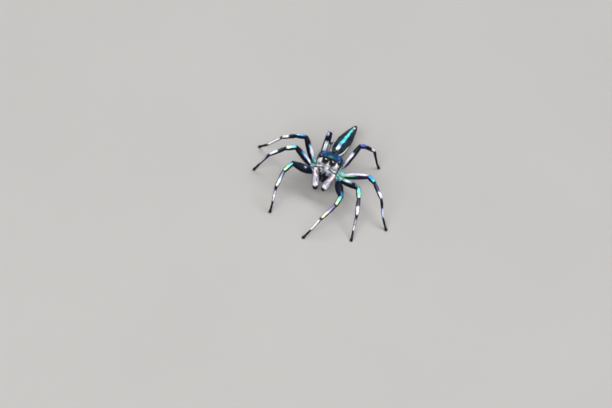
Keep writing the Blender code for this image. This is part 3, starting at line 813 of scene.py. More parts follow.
def paintFront(points):
    # markings of the front body from places in its own frame: x outwards, y back, z up
    x, y, z = np.abs(points[..., 0]), points[..., 1], points[..., 2]
    stray = ripple(points, 0.5, 3) * 0.06
    slope = smooth(0.06, 0.24, y + 0.5 * stray)
    flank = 1 - smooth(0.62, 0.82, z + stray + 0.5 * np.maximum(y, 0))
    paint = layered(
        flood(x, front["topTone"], 0.6),
        (front["shimmerTone"], 0.5, (0.5 + 0.5 * ripple(points, 0.6, 8)) * 0.5),
        ("#3a3c98", 0.5, smooth(0.2, 0.7, ripple(points, 0.45, 9)) * 0.7),
        ("#040818", 0.4, smooth(0.1, 0.45, ripple(points, 0.25, 19)) * 0.75),
        (front["crownTone"], 0.55, spotWeight(points, (0.0, -1.04, 1.10), (0.24, 0.26, 0.4)) * 0.9),
        (front["cornerTone"], 0.6, spotWeight(points, (0.70, -0.52, 1.08), (0.30, 0.50, 0.45)) * 0.85),
        ("#0c0e18", 0.4, slope),
        ("#12304c", 0.5, slope * np.clip(ripple(points, 0.5, 14), 0, 1) * 0.7),
        ("#1d6f80", 0.6, spotWeight(points, (0.0, 0.80, 0.6), (0.16, 0.60, 0.6)) * 0.8),
        (front["flankTone"], 0.5, flank * (1 - slope)),
    )
    band = (1 - smooth(0.26, 0.42, z + stray + 0.30 * np.maximum(y - 0.4, 0))) * smooth(-1.35, -1.1, y)
    paint = blendTone(paint, sparkle(points), band)
    face = (1 - smooth(-1.46, -1.24, y)) * (1 - smooth(0.95, 1.04, z))
    cheek = np.maximum(face, (1 - smooth(-1.26, -0.98, y)) * (1 - smooth(0.70, 0.90, z + stray)))
    underHair = faceHair(points)[0] * (0.85, 0.85, 0.85, 0.0)
    paint = blendTone(paint, underHair, cheek * (1 - smooth(0.86, 0.94, x)))
    rims = [
        (front["rimTone"], 0.0, (1 - smooth(radius * 1.12, radius * 1.26, d)) * smooth(0.02, 0.06, x))
        for radius, d in ((eyes[name]["radius"], eyeDistance(name, x, y, z)) for name in eyeNames)
    ]
    brow = (1 - smooth(-1.26, -1.16, y + 0.1 * x)) * smooth(0.96, 1.02, z) * (1 - smooth(0.60, 0.75, x))
    paint = layered(
        paint,
        ("#16282e", 0.2, cheek * smooth(0.84, 0.94, x)),
        (front["underTone"], 0.1, 1 - smooth(-0.10, 0.04, z)),
        *rims,
        (front["rimTone"], 0.0, brow),
    )
    return np.clip(paint, 0, 1)


def nearLine(x, z, a, b):  # distance on the face from the line between two points
    a, b = np.array(a), np.array(b)
    t = np.clip(((x - a[0]) * (b[0] - a[0]) + (z - a[1]) * (b[1] - a[1])) / ((b - a) @ (b - a)), 0, 1)
    return np.hypot(x - a[0] - (b[0] - a[0]) * t, z - a[1] - (b[1] - a[1]) * t)


def faceHair(points):
    # colour of the hair on the face, with how thick it grows: white by the eyes, dark lines below
    x, z = np.abs(points[..., 0]), points[..., 2]
    stray = ripple(points, 0.20, 12) * 0.025
    hair = flood(x, front["ashTone"])
    hair = blendTone(hair, tone(front["silverTone"]), smooth(-0.1, 0.3, ripple(points, 0.13, 13)))
    for a, b, near, far, code in front["faceMarks"]:
        hair = blendTone(hair, tone(code), 1 - smooth(near, far, nearLine(x, z, a, b) + stray))
    dark = 1 - smooth(0.10, 0.25, hair[..., :3].mean(-1))
    return hair, 1 - 0.75 * dark


def addCarapace(skin):
    inset, margin = front["inset"], front["marginZ"]
    face, dome, rear = 12, 112, 5  # rings
    foremost, rearmost = front["faceY"] + inset, front["rearY"] - inset
    ys = np.concatenate([np.full(face, foremost), np.linspace(foremost, rearmost, dome), np.full(rear, rearmost)])
    shrink = np.concatenate([np.linspace(0.08, 0.98, face), np.ones(dome), np.linspace(0.9, 0.1, rear)])
    sizes = through(front["stations"], ys)
    half, top = sizes[:, 0] - inset, sizes[:, 1] - inset
    faceMiddle = margin + 0.55 * (top - margin)
    grid = sectionGrid(ys, half, top, np.full_like(ys, margin - 0.05), 144, front["topPower"], 2.0, margin)
    pull = shrink[:, None]
    grid[..., 0] *= pull
    grid[..., 2] = faceMiddle[:, None] + (grid[..., 2] - faceMiddle[:, None]) * pull
    grid[..., 1] -= np.where(ys < 0, 1, -1)[:, None] * 0.02 * (1 - pull)
    # fovea, a short groove behind the rear eyes, with faint furrows running from it
    x, y, z = grid[..., 0], grid[..., 1], grid[..., 2]
    crown = smooth(0.45, 0.75, z - margin + 0.5 * np.maximum(y, 0))
    groove = np.exp(-((x / 0.035) ** 2) - ((y - 0.30) / 0.13) ** 2)
    angle = np.arctan2(x, y - 0.30)
    far = np.hypot(x, y - 0.30)
    furrow = np.sin(angle * 9) * smooth(0.15, 0.5, far) * (1 - smooth(0.8, 1.2, far)) * smooth(-0.1, 0.3, y)
    saddle = np.exp(-((x / 0.30) ** 2)) * (1 - smooth(-0.5, 0.2, y)) * smooth(-1.4, -1.1, y)
    grid[..., 2] -= crown * (0.05 * groove + 0.008 * furrow + 0.025 * saddle)
    grid += ripple(grid, 0.35, 2)[..., None] * unevenness * np.array((1, 0, 1))
    paint = paintFront(grid)
    x, y, z = np.abs(grid[..., 0]), grid[..., 1], grid[..., 2]
    onFace = (1 - smooth(-1.42, -1.22, y)) * (1 - smooth(0.98, 1.04, z))
    cheek = (1 - smooth(-1.20, -0.98, y)) * (1 - smooth(0.66, 0.86, z))
    haired = np.maximum(onFace, cheek * 0.75 * (1 - 0.7 * smooth(0.86, 0.94, x)))
    eyeGap = np.ones_like(x)
    for name in eyeNames:
        radius, d = eyes[name]["radius"], eyeDistance(name, x, y, z)
        eyeGap *= np.maximum(smooth(radius * 1.08, radius * 1.14, d), 1 - smooth(0.02, 0.05, x))
    fringe = np.exp(-(((y - 0.06) / 0.10) ** 2)) * smooth(0.5, 0.8, z)
    lie = frontHeading(np.stack([np.zeros_like(x), np.ones_like(x), -0.3 * np.ones_like(x)], -1))
    sweep = 0.25 - 0.75 * smooth(0.25, 0.55, x)  # down and out below the main eyes, down and in on the cheeks
    down = frontHeading(np.stack([sweep * np.sign(grid[..., 0]), np.zeros_like(x), -np.ones_like(x)], -1))
    lie = lie * (1 - haired[..., None]) + down * haired[..., None]
    setae = flood(x, "#0b0b10")
    silver, thick = faceHair(grid)
    silver = blendTone(silver, tone("#1d3338"), smooth(0.84, 0.92, x))
    setae = blendTone(setae, silver, smooth(0.2, 0.6, haired))
    beard = onFace * (1 - smooth(0.20, 0.28, z)) * smooth(0.14, 0.2, z) * (1 - smooth(0.5, 0.7, x))
    skinned = eyeGap * smooth(-0.02, 0.10, z)
    scaled = (1 - 0.9 * haired) * skinned
    furred = np.maximum(haired * thick, fringe) * skinned
    bristled = np.clip(0.25 + 0.6 * fringe, 0, 1) * eyeGap * (1 - haired) * smooth(0.2, 0.5, z)
    cover = np.stack([scaled, furred, bristled, beard], -1)
    grain = grid[..., [1, 0, 2]]
    addShell(skin, frontPoint(grid), paint, setae, lie, grain, cover, (0.0, 1.0, 0.0, 0.5))


def addUnderside(skin):
    # pleura and sternum, a little narrower than the carapace, so its margin stands proud
    inset, margin = front["inset"], front["marginZ"]
    ys = np.linspace(front["faceY"] + 0.10, front["rearY"] - 0.08, 70)
    sizes = through(front["stations"], ys)
    half, top, bottom = sizes[:, 0] * 0.93 - inset, np.full_like(ys, margin + 0.12), sizes[:, 2] + inset
    grid = sectionGrid(ys, half, top, bottom, 96, 2.4, front["underPower"], margin)
    x, y, z = grid[..., 0], grid[..., 1], grid[..., 2]
    sternum = (1 - smooth(0.26, 0.36, np.abs(x) + 0.30 * np.abs(y - 0.1) ** 1.5)) * (1 - smooth(-0.2, -0.1, z))
    grid[..., 2] -= sternum * 0.02
    paint = layered(
        flood(x, front["underTone"], 0.1),
        ("#3a3036", 0.0, sternum * 0.7),
        (front["patchTone"], 0.4, smooth(-0.16, 0.02, z) * 0.5),
    )
    setae = flood(x, "#8d9298")
    flat = np.ones_like(x)
    cover = np.stack([flat * 0.5, flat * 0.5 * (1 - 0.5 * sternum), flat * 0.0], -1)
    lie = frontHeading(np.stack([np.zeros_like(x), flat, np.zeros_like(x)], -1))
    addShell(skin, frontPoint(grid), paint, setae, lie, grid[..., [1, 0, 2]], cover, (0.0, 0.6, 0.5, 0.75), 1)


def addCoxae(skin):  # with their bright scales on top
    upward = np.array((0, 0, 1.0))
    for pair, (root, end) in front["coxae"].items():
        for side in ("right", "left"):
            sign = sideSign(side)
            a = frontPoint((sign * root[0], root[1], root[2]))
            b = frontPoint((sign * end[0], end[1], end[2]))
            row = 0.75 + 0.03 * (pair - 1) + (0.12 if side == "left" else 0)
            band = (0.0, 0.5, row, row + 0.025)
            addLimbPart(skin, "coxa", a, b, coxaForm, upward, sign, [], "#11141c", band, seed=pair)


# x, y, half width, low and high edge, row of the unwrap
mouthRows = (
    (0.19, -0.91, 0.14, -0.78, -0.40, 0.79),
    (-0.19, -0.91, 0.14, -0.78, -0.40, 0.76),
    (0.0, -0.78, 0.11, -0.76, -0.44, 0.82),
)


def addMouthAndWaist(skin):
    # two endites with the labium between them
    upward = frontHeading((0, 0, 1.0))
    for x, y, half, low, high, row in mouthRows:
        a = frontPoint((x * 0.8, y + 0.22, (low + high) / 2))
        b = frontPoint((x, y - 0.20, (low + high) / 2 - 0.03))
        form = ((0, half * 0.8, 0.14, 0.14), (0.5, half, 0.16, 0.15), (1, half * 0.95, 0.12, 0.12))
        lobe = segment(18, 24, 0.10, 0.10, *form)
        band = (0.5, 0.9, row, row + 0.025)
        addLimbPart(skin, "lobe", a, b, lobe, upward, 1.0, [], "#2b2528", band, slot=1, seed=5)
    for row, name in enumerate(eyeNames):
        for side in ("right", "left"):
            addCollar(skin, name, side, 0.90 + 0.01 * row + (0.05 if side == "left" else 0))
    # pedicel, the thin waist
    a = frontPoint((0, front["rearY"] - 0.12, front["marginZ"]))
    b = abdomenAxis(np.array([0.05]))[0]
    waist = segment(14, 24, 0.04, 0.04, (0, 0.10), (0.5, 0.09), (1, 0.11))
    band = (0.5, 0.7, 0.86, 0.89)
    addLimbPart(skin, "waist", a, b, waist, np.array((0, 0, 1.0)), 1.0, [], "#14131a", band, slot=1, seed=9)


def makeFrontBody():
    skin = newSkin()
    addCarapace(skin)
    addUnderside(skin)
    addCoxae(skin)
    addMouthAndWaist(skin)
    made = makeSkin("frontBody", skin, [shellCuticle, softCuticle])
    place(made, ["cephalothorax", "pedicel", "mouthparts"], "carapace_scales")
    return made


def eyeFrame(name, side):  # centre, radius, the way it looks, and spokes of unit length round that
    sign, eye = sideSign(side), eyes[name]
    looks = unit(np.array(eye["looks"]) * (sign, 1, 1))
    across = unit(np.cross(looks, (0, 0, 1.0)))
    up = np.cross(across, looks)
    turn = 2 * math.pi * np.arange(eyes["segments"]) / eyes["segments"]
    ring = across[None] * np.cos(turn)[:, None] + up[None] * np.sin(turn)[:, None]
    return np.array(eye["centre"]) * (sign, 1, 1), eye["radius"], looks, ring


def addCollar(skin, name, side, row):  # round an eye
    centre, radius, looks, ring = eyeFrame(name, side)
    profile = np.array(eyes["collar"]) * radius
    steps = np.linspace(0, len(profile) - 1, 22)
    profile = through(np.column_stack([np.arange(len(profile)), profile]), steps)
    grid = centre + looks * profile[:, 0][:, None, None] + ring[None] * profile[:, 1][:, None, None]
    flat = np.zeros(grid.shape[:2])
    lie = frontHeading(np.broadcast_to(-looks, grid.shape) * 0.6 + ring[None] * 0.8)
    grain = grid[..., [1, 0, 2]]
    paint, setae = flood(flat, front["rimTone"]), flood(flat, "#101014")
    cover = np.stack([flat, flat, flat], -1)
    addShell(skin, frontPoint(grid), paint, setae, lie, grain, cover, (0.75, 0.95, row, row + 0.009), 0)


# Limbs


def segment(rings, sides, capA, capB, *form, bow=0.0):
    # form rows are (fraction, side, upper, lower) radii in mm, or (fraction, radius) where it is round
    rows = [row if len(row) == 4 else (row[0], row[1], row[1], row[1]) for row in form]
    return {"rings": rings, "sides": sides, "caps": (capA, capB), "form": rows, "bow": bow}


capTurns = (12, 30, 50, 70)  # degrees, the rings of a rounded end
skinLowest = 0.01  # mm above the floor


def addLimbPart(
    skin, part, start, end, shape, reference, sign, marks, base, band,
    slot=0, seed=1, hair=(1.0, 0.35, 0.25), floorStop=False,
):
    # one segment of a limb, from joint to joint
    axis = unit(end - start)
    length = np.linalg.norm(end - start)
    upper = unit(reference - axis * (reference @ axis))
    ahead = np.cross(axis, upper) * sign
    rings, sides = shape["rings"], shape["sides"]
    capA, capB = shape["caps"]
    bow = shape["bow"]
    turn = np.radians(np.array(capTurns))
    body = np.linspace(0, 1, rings)
    t = np.concatenate([-capA * np.cos(turn) / length, body, 1 + capB * np.cos(turn[::-1]) / length])
    closing = np.concatenate([np.sin(turn), np.ones(rings), np.sin(turn[::-1])])
    radii = through(shape["form"], np.clip(t, 0, 1)) * closing[:, None]
    phi = 2 * math.pi * np.arange(sides) / sides  # 0 is the upper side, 90 degrees the front side
    c, s = np.cos(phi), np.sin(phi)
    height = np.where(c[None] > 0, radii[:, 1:2], radii[:, 2:3]) * c[None]
    width = radii[:, 0:1] * s[None]
    arch = bow * length * np.sin(math.pi * np.clip(t, 0, 1))
    along = (t * length)[:, None]
    across = ahead * width[..., None]
    grid = start + axis * along[..., None] + upper * (height + arch[:, None])[..., None] + across
    grid = grid + unit(upper * height[..., None] + across) * (ripple(grid, 0.22, seed) * unevenness)[..., None]
    degrees = (np.degrees(phi) + 180) % 360 - 180
    tt, pp = np.meshgrid(t, degrees, indexing="ij")
    stray = ripple(grid, 0.16, seed + 40)
    paint = flood(tt, base, 0.25)
    paint = layered(paint, ("#1c1a30", 0.5, np.clip(0.5 + 0.5 * ripple(grid, 0.4, seed + 7), 0, 1) * 0.6))
    for _, first, last, centre, spread, colours, shine in marks:
        tones = np.stack([tone(code, shine) for code in colours])
        place01 = np.clip((tt - first) / max(last - first, 1e-6), 0, 1) * (len(tones) - 1)
        k = np.clip(place01.astype(int), 0, max(len(tones) - 2, 0))
        strip = blendTone(tones[k], tones[np.minimum(k + 1, len(tones) - 1)], place01 - k)
        offset = np.abs((pp - centre + 180) % 360 - 180)
        edge = 0.035
        within = smooth(first - edge, first + edge, tt + stray * 0.02)
        weight = within * (1 - smooth(last - edge, last + edge, tt + stray * 0.02))
        weight = weight * (1 - smooth(spread - 8, spread + 8, offset + stray * 7))
        paint = blendTone(paint, strip, weight)
    if part in ("coxa", "trochanter"):
        bright = smooth(0.15, 0.35, tt) * (1 - smooth(80, 105, np.abs(pp - 15)))
        paint = blendTone(paint, sparkle(grid), bright * (1.0 if part == "coxa" else 0.7))
    pale = np.clip(paint[..., :3].mean(-1) * 2.2, 0, 1)
    setae = layered(flood(tt, "#0d0b0e"), ("#d9dde6", 0, pale * 0.8))
    lie = np.broadcast_to(axis, grid.shape)
    scaled, haired, bristled = hair
    below = np.clip(-c, 0, 1)[None] * np.ones_like(tt)
    open01 = closing[:, None] * np.ones_like(tt)
    cover = np.stack([scaled * open01, (haired + 0.35 * haired * below) * open01, bristled * open01], -1)
    local = np.stack([along + 0 * width + seed * 3.1, width, height], -1)
    if floorStop:
        grid[..., 2] = np.maximum(grid[..., 2], skinLowest)
    addShell(skin, grid, np.clip(paint, 0, 1), setae, lie, local, cover, band, slot)


coxaForm = segment(20, 32, 0.05, 0.08, (0, 0.19), (0.5, 0.205), (0.85, 0.20), (1, 0.175))

leg = {
    "darkTone": "#100f17",
    "lengths": {
        1: (0.47, 1.97, 1.13, 1.57, 1.29, 0.82),
        2: (0.52, 2.02, 0.89, 1.46, 1.25, 0.82),
        3: (0.51, 2.21, 0.79, 1.39, 1.55, 1.06),
        4: (0.43, 2.21, 0.66, 1.25, 1.32, 0.58),
    },
    # turns back from straight out, and rises of the first five, in degrees
    "stance": {
        (1, "right"): ((-82, -29, -74, -92, -108, -109), (9, 27, -3, -22, -48)),
        (2, "right"): ((-48, -8, -37, -31, -31, -35), (36, 42, -5, -37, -66)),
        (3, "right"): ((-39, 12, -3, 1, -15, 7), (44, 59, -23, -40, -54)),
        (4, "right"): ((79, 71, 96, 100, 98, 101), (20, 80, -48, -75, -53)),
        (1, "left"): ((-41, -63, -92, -113, -111, -114), (8, 13, 0, -26, -36)),
        (2, "left"): ((-26, -29, -60, -69, -74, -72), (-8, 30, -18, -26, -38)),
        (3, "left"): ((-18, -1, -31, -34, -46, -35), (1, 34, 7, -25, -45)),
        (4, "left"): ((3, 65, 56, 42, 0, 6), (14, 56, -28, -35, -65)),
    },
    "parts": ("trochanter", "femur", "patella", "tibia", "metatarsus", "tarsus"),
    "forms": {
        "trochanter": segment(12, 32, 0.08, 0.10, (0, 0.15), (0.45, 0.175), (1, 0.15)),
        "femur": segment(
            46, 36, 0.10, 0.10, (0, 0.13, 0.14, 0.14), (0.12, 0.19, 0.20, 0.20), (0.35, 0.235, 0.25, 0.25),
            (0.65, 0.23, 0.245, 0.24), (0.9, 0.19, 0.205, 0.19), (1, 0.16, 0.175, 0.16), bow=0.012
        ),
        "stoutFemur": segment(
            48, 40, 0.10, 0.12, (0, 0.14, 0.15, 0.15), (0.10, 0.22, 0.24, 0.23), (0.32, 0.30, 0.33, 0.33),
            (0.60, 0.29, 0.31, 0.31), (0.88, 0.215, 0.235, 0.22), (1, 0.18, 0.195, 0.175), bow=0.012
        ),
        "rearFemur": segment(
            46, 36, 0.10, 0.10, (0, 0.12, 0.13, 0.13), (0.12, 0.18, 0.19, 0.185), (0.35, 0.205, 0.215, 0.21),
            (0.65, 0.205, 0.215, 0.21), (0.9, 0.175, 0.185, 0.175), (1, 0.15, 0.16, 0.15), bow=0.012
        ),
        "patella": segment(
            26, 32, 0.09, 0.07, (0, 0.125), (0.15, 0.16, 0.175, 0.16), (0.5, 0.175, 0.19, 0.17),
            (0.85, 0.165, 0.18, 0.165), (1, 0.14, 0.15, 0.14)
        ),
        "tibia": segment(
            34, 32, 0.08, 0.06, (0, 0.10, 0.11, 0.11), (0.12, 0.135, 0.145, 0.135), (0.5, 0.145, 0.15, 0.14),
            (0.9, 0.13, 0.14, 0.13), (1, 0.115, 0.12, 0.115)
        ),
        "metatarsus": segment(
            30, 28, 0.06, 0.05, (0, 0.075), (0.10, 0.095, 0.10, 0.095), (0.5, 0.08, 0.085, 0.08),
            (0.9, 0.072, 0.076, 0.072), (1, 0.068, 0.07, 0.068)
        ),
        "tarsus": segment(
            22, 26, 0.05, 0.05, (0, 0.06, 0.065, 0.065), (0.15, 0.072, 0.075, 0.072), (0.6, 0.07, 0.072, 0.072),
            (1, 0.06)
        ),
    },
    # part, from, to, middle angle, spread, colours along it, shine; 0 degrees is the upper side
    "marks": {
        (1, "right"): (
            ("trochanter", -0.2, 0.9, 0, 75, ("#35e6e0", "#2f8ff0"), 0.1),
            # dark blue on the front of the femur: partly its own scale colour, partly painted sheen
            ("femur", 0.10, 0.95, 40, 34, ("#101c2c", "#16283c", "#10202c"), 0.5),
            # small lilac speck: a painted highlight
            ("femur", 0.40, 0.50, 22, 14, ("#b9b6e0",), 0.0),
            ("patella", -0.15, 0.98, 0, 36, ("#1f86d8", "#4fe4f4", "#7dffe4", "#c8ffc0", "#ecfff8"), 0.05),
            ("tibia", 0.02, 0.50, 0, 36, ("#5f6f96", "#9fabc8", "#bcd8ee"), 0.05),
            ("tibia", 0.46, 0.90, 0, 42, ("#d8ecff", "#ffffff", "#e0ffc8", "#ffffff"), 0.0),
            ("metatarsus", 0.14, 0.82, 0, 46, ("#b4b0dc", "#ffffff", "#c4c0e6"), 0.0),
        ),
        (2, "right"): (
            ("trochanter", -0.2, 1.1, 0, 75, ("#35e6e0", "#c8fff2"), 0.05),
            ("femur", 0.03, 0.76, 6, 34, ("#8fe4ee", "#ffffff", "#f0ecff", "#c8e0ff", "#4fa8e4", "#1c548c"), 0.05),
            ("patella", 0.00, 0.92, 0, 42, ("#35dfe6", "#7dfff0", "#d8ffe0", "#f4ffff"), 0.05),
            ("tibia", 0.05, 0.42, 0, 34, ("#123c44", "#2c7a78"), 0.3),
            ("tibia", 0.42, 0.90, 0, 46, ("#f2ecff", "#ffffff", "#e2dcff"), 0.0),
            ("metatarsus", 0.10, 0.92, 0, 40, ("#8c86b4", "#c6c2e2", "#a8a4c8"), 0.0),
        ),
        (3, "right"): (
            ("trochanter", -0.2, 1.1, 0, 75, ("#35e6e0", "#62f2e6"), 0.05),
            ("femur", 0.00, 0.70, 4, 38, ("#28c4ec", "#a8f0ff", "#ffffff", "#e6dcff", "#54b4c4"), 0.05),
            ("patella", 0.05, 0.98, -6, 32, ("#3c9cff", "#5fd0ff", "#a8fff4"), 0.05),
            ("tibia", 0.06, 0.46, 20, 30, ("#222c4a", "#2c3658"), 0.2),
            ("tibia", 0.48, 0.92, 14, 50, ("#f0ecff", "#ffffff", "#e8e4ff"), 0.0),
            ("metatarsus", 0.12, 0.94, 22, 56, ("#ece8ff", "#ffffff", "#ffffff"), 0.0),
        ),
        (4, "right"): (
            ("trochanter", -0.2, 1.1, 0, 75, ("#7fd8dc", "#e4fff8"), 0.0),
            ("femur", 0.00, 0.66, 0, 44, ("#f8fcff", "#ffffff", "#f4f8ff", "#dcecff"), 0.0),
            ("femur", 0.90, 1.12, 60, 60, ("#8f9adf", "#e6e8fb"), 0.05),
            ("patella", -0.1, 0.95, 0, 50, ("#8890d8", "#fcf8ff", "#e4e8ff"), 0.0),
            ("tibia", 0.55, 0.92, 0, 60, ("#e4e2f4", "#ffffff"), 0.0),
            ("metatarsus", 0.30, 0.75, 0, 50, ("#8f8cab", "#dcdaf0"), 0.0),
        ),
        (1, "left"): (
            ("trochanter", -0.2, 0.9, 0, 75, ("#35e6e0", "#2f8ff0"), 0.1),
            # dark teal and navy over the femur: partly its own scale colour, partly painted sheen
            ("femur", 0.05, 0.85, 20, 60, ("#12303c", "#101c30", "#1c1830", "#102c34"), 0.5),
            # blue at the knee: partly blue scales, partly a painted highlight
            ("femur", 0.82, 1.10, -24, 36, ("#1f5c98", "#3a8cd8"), 0.2),
            ("patella", -0.12, 0.94, 0, 40, ("#2fa4e8", "#7cf4dc", "#bcffdc", "#f2ffc0"), 0.05),
            ("tibia", 0.02, 0.46, 0, 38, ("#8884ae", "#b8b4dc"), 0.0),
            ("tibia", 0.44, 0.92, 0, 42, ("#f4f4ff", "#fdffe8", "#f6fabc"), 0.0),
            ("metatarsus", 0.06, 0.88, 0, 46, ("#dce0ec", "#ffffff", "#f4f2ff"), 0.0),
            ("tarsus", 0.80, 1.10, 0, 90, ("#20264c", "#2a3468"), 0.2),
        ),
        (2, "left"): (
            ("trochanter", -0.2, 0.9, 0, 75, ("#35e6e0", "#4fd8f8"), 0.05),
            ("femur", 0.00, 0.66, 6, 34, ("#1c6c9c", "#6fd0ec", "#ffffff", "#c8f0f4", "#3c8c94"), 0.05),
            ("femur", 0.84, 1.06, 0, 40, ("#6c7884", "#8c98a4"), 0.1),
            ("patella", -0.05, 0.95, 0, 46, ("#38d8f4", "#7dfff4", "#a4ffd0", "#f4fff4"), 0.05),
            ("tibia", 0.05, 0.44, 0, 40, ("#3a3a4c", "#6c6c84"), 0.1),
            ("tibia", 0.44, 0.92, 0, 50, ("#e6e4ff", "#ffffff", "#f4f0ff"), 0.0),
            ("metatarsus", 0.16, 0.50, 0, 40, ("#9494b0", "#c8c8dc"), 0.0),
            ("metatarsus", 0.56, 0.92, 0, 46, ("#e2e0f4", "#ffffff"), 0.0),
        ),
        (3, "left"): (
            ("trochanter", -0.2, 1.1, 0, 75, ("#4fc8f8", "#a8f7b0"), 0.05),
            ("femur", 0.00, 1.02, 0, 36, ("#b8f4e4", "#f8ecff", "#e4d4fc", "#fcf4ff", "#d0ccf4"), 0.0),
            ("femur", 0.00, 0.60, 48, 15, ("#6cecb8", "#a8f8b0", "#68d8b0", "#1f6c6c"), 0.1),
            ("femur", 0.10, 0.95, 84, 24, ("#2c1a40", "#38204c"), 0.4),
            ("patella", 0.00, 0.92, 0, 46, ("#2c8cf0", "#2cc4ff", "#6ff0ff"), 0.1),
            ("tibia", 0.05, 0.52, 0, 40, ("#3c3860", "#6c6894"), 0.1),
            ("tibia", 0.54, 0.96, 0, 54, ("#f0e4ff", "#ffffff", "#b4bcff"), 0.0),
            ("metatarsus", 0.48, 0.96, 0, 50, ("#a8b0f0", "#eef0ff", "#b4c4ff"), 0.0),
        ),
        (4, "left"): (
            ("trochanter", -0.2, 1.1, 0, 75, ("#1f4c50", "#c8f4ec"), 0.0),
            ("femur", 0.00, 0.66, -4, 34, ("#f4fffc", "#ece8ff", "#fcf8ff", "#e0dcff"), 0.0),
            # dark teal before the knee: partly its own scale colour, partly painted glints
            ("femur", 0.66, 0.90, 10, 18, ("#14383c", "#1c5450"), 0.3),
            ("patella", -0.25, 0.95, -4, 56, ("#6068cc", "#4458e4", "#2c44b8"), 0.2),
            ("tibia", 0.56, 0.94, 0, 70, ("#e4e0fc", "#ffffff"), 0.0),
        ),
    },
}


def legJoints(pair, side):
    sign = sideSign(side)
    end = front["coxae"][pair][1]
    joints = [frontPoint((sign * end[0], end[1], end[2]))]
    turns, rises = leg["stance"][(pair, side)]
    lengths = leg["lengths"][pair]
    rises = list(rises)
    for k in range(6):
        if k == 5:
            rises.append(-math.degrees(math.asin(joints[-1][2] / lengths[-1])))
        t, r = math.radians(turns[k]), math.radians(rises[k])
        heading = np.array((sign * math.cos(r) * math.cos(t), math.cos(r) * math.sin(t), math.sin(r)))
        joints.append(joints[-1] + heading * lengths[k])
    return joints


tarsusEnd = 0.04  # mm, leaves room for the claws and the pad of hair
padLength = 0.36  # mm, of dense hair round the claws
padForm = segment(
    18, 24, 0.05, 0.05, (0, 0.06), (0.4, 0.085), (0.8, 0.115, 0.11, 0.11), (1, 0.10, 0.095, 0.095)
)


def makeLeg(pair, side):
    joints = legJoints(pair, side)
    sign = sideSign(side)
    skin = newSkin()
    reference = np.array((0.0, 0.0, 1.0))
    for k, part in enumerate(leg["parts"]):
        form = leg["forms"][{1: "stoutFemur", 4: "rearFemur"}.get(pair, part) if part == "femur" else part]
        start, end = joints[k], joints[k + 1]
        own = [mark for mark in leg["marks"][(pair, side)] if mark[0] == part]
        hair = (1.0, 0.26, 0.26)
        if part == "tarsus":
            end = end + unit(start - end) * tarsusEnd
            hair = (0.35, 1.8, 0.2)
        band = (0.0, 1.0, k / 7, k / 7 + 0.13)
        looks = {"seed": pair * 10 + k, "hair": hair, "floorStop": True}
        addLimbPart(skin, part, start, end, form, reference, sign, own, leg["darkTone"], band, **looks)
        if part == "tarsus":
            start, band = end - unit(end - start) * padLength, (0.5, 0.7, 0.90, 0.95)
            looks = {"seed": 70 + pair, "hair": (0.1, 2.0, 0.0), "floorStop": True}
            addLimbPart(skin, "pad", start, end, padForm, reference, sign, [], "#17141b", band, **looks)
        if k:
            # soft joint between two segments
            small = form["form"][0][1]
            ball = segment(8, 20, small * 0.9, small * 0.9, (0, small), (1, small))
            bend = unit(unit(joints[k] - joints[k - 1]) + unit(joints[k + 1] - joints[k])) * 0.01
            start, end, band = joints[k] - bend, joints[k] + bend, (0.02 * k, 0.02 * k + 0.015, 0.90, 0.95)
            looks = {"slot": 1, "seed": k, "hair": (0.0, 0.0, 0.0)}
            addLimbPart(skin, "joint", start, end, ball, reference, sign, [], "#1a161c", band, **looks)
    name = f"leg_{pair}_{side}"
    made = makeSkin(f"{name}_skin", skin, [shellCuticle, softCuticle])
    place(made, [f"{name}_femur", f"{name}_shank", f"{name}_foot"], "leg_cuticle")
    seed = pair * 100 + (50 if side == "left" else 0)
    growCoat(f"{name}_scales", made, "leg_cuticle", "legScales", seed)
    growCoat(f"{name}_hair", made, "leg_cuticle", "legHair", seed + 1)
    growCoat(f"{name}_bristles", made, "leg_cuticle", "legBristles", seed + 2)


# Palps and chelicerae

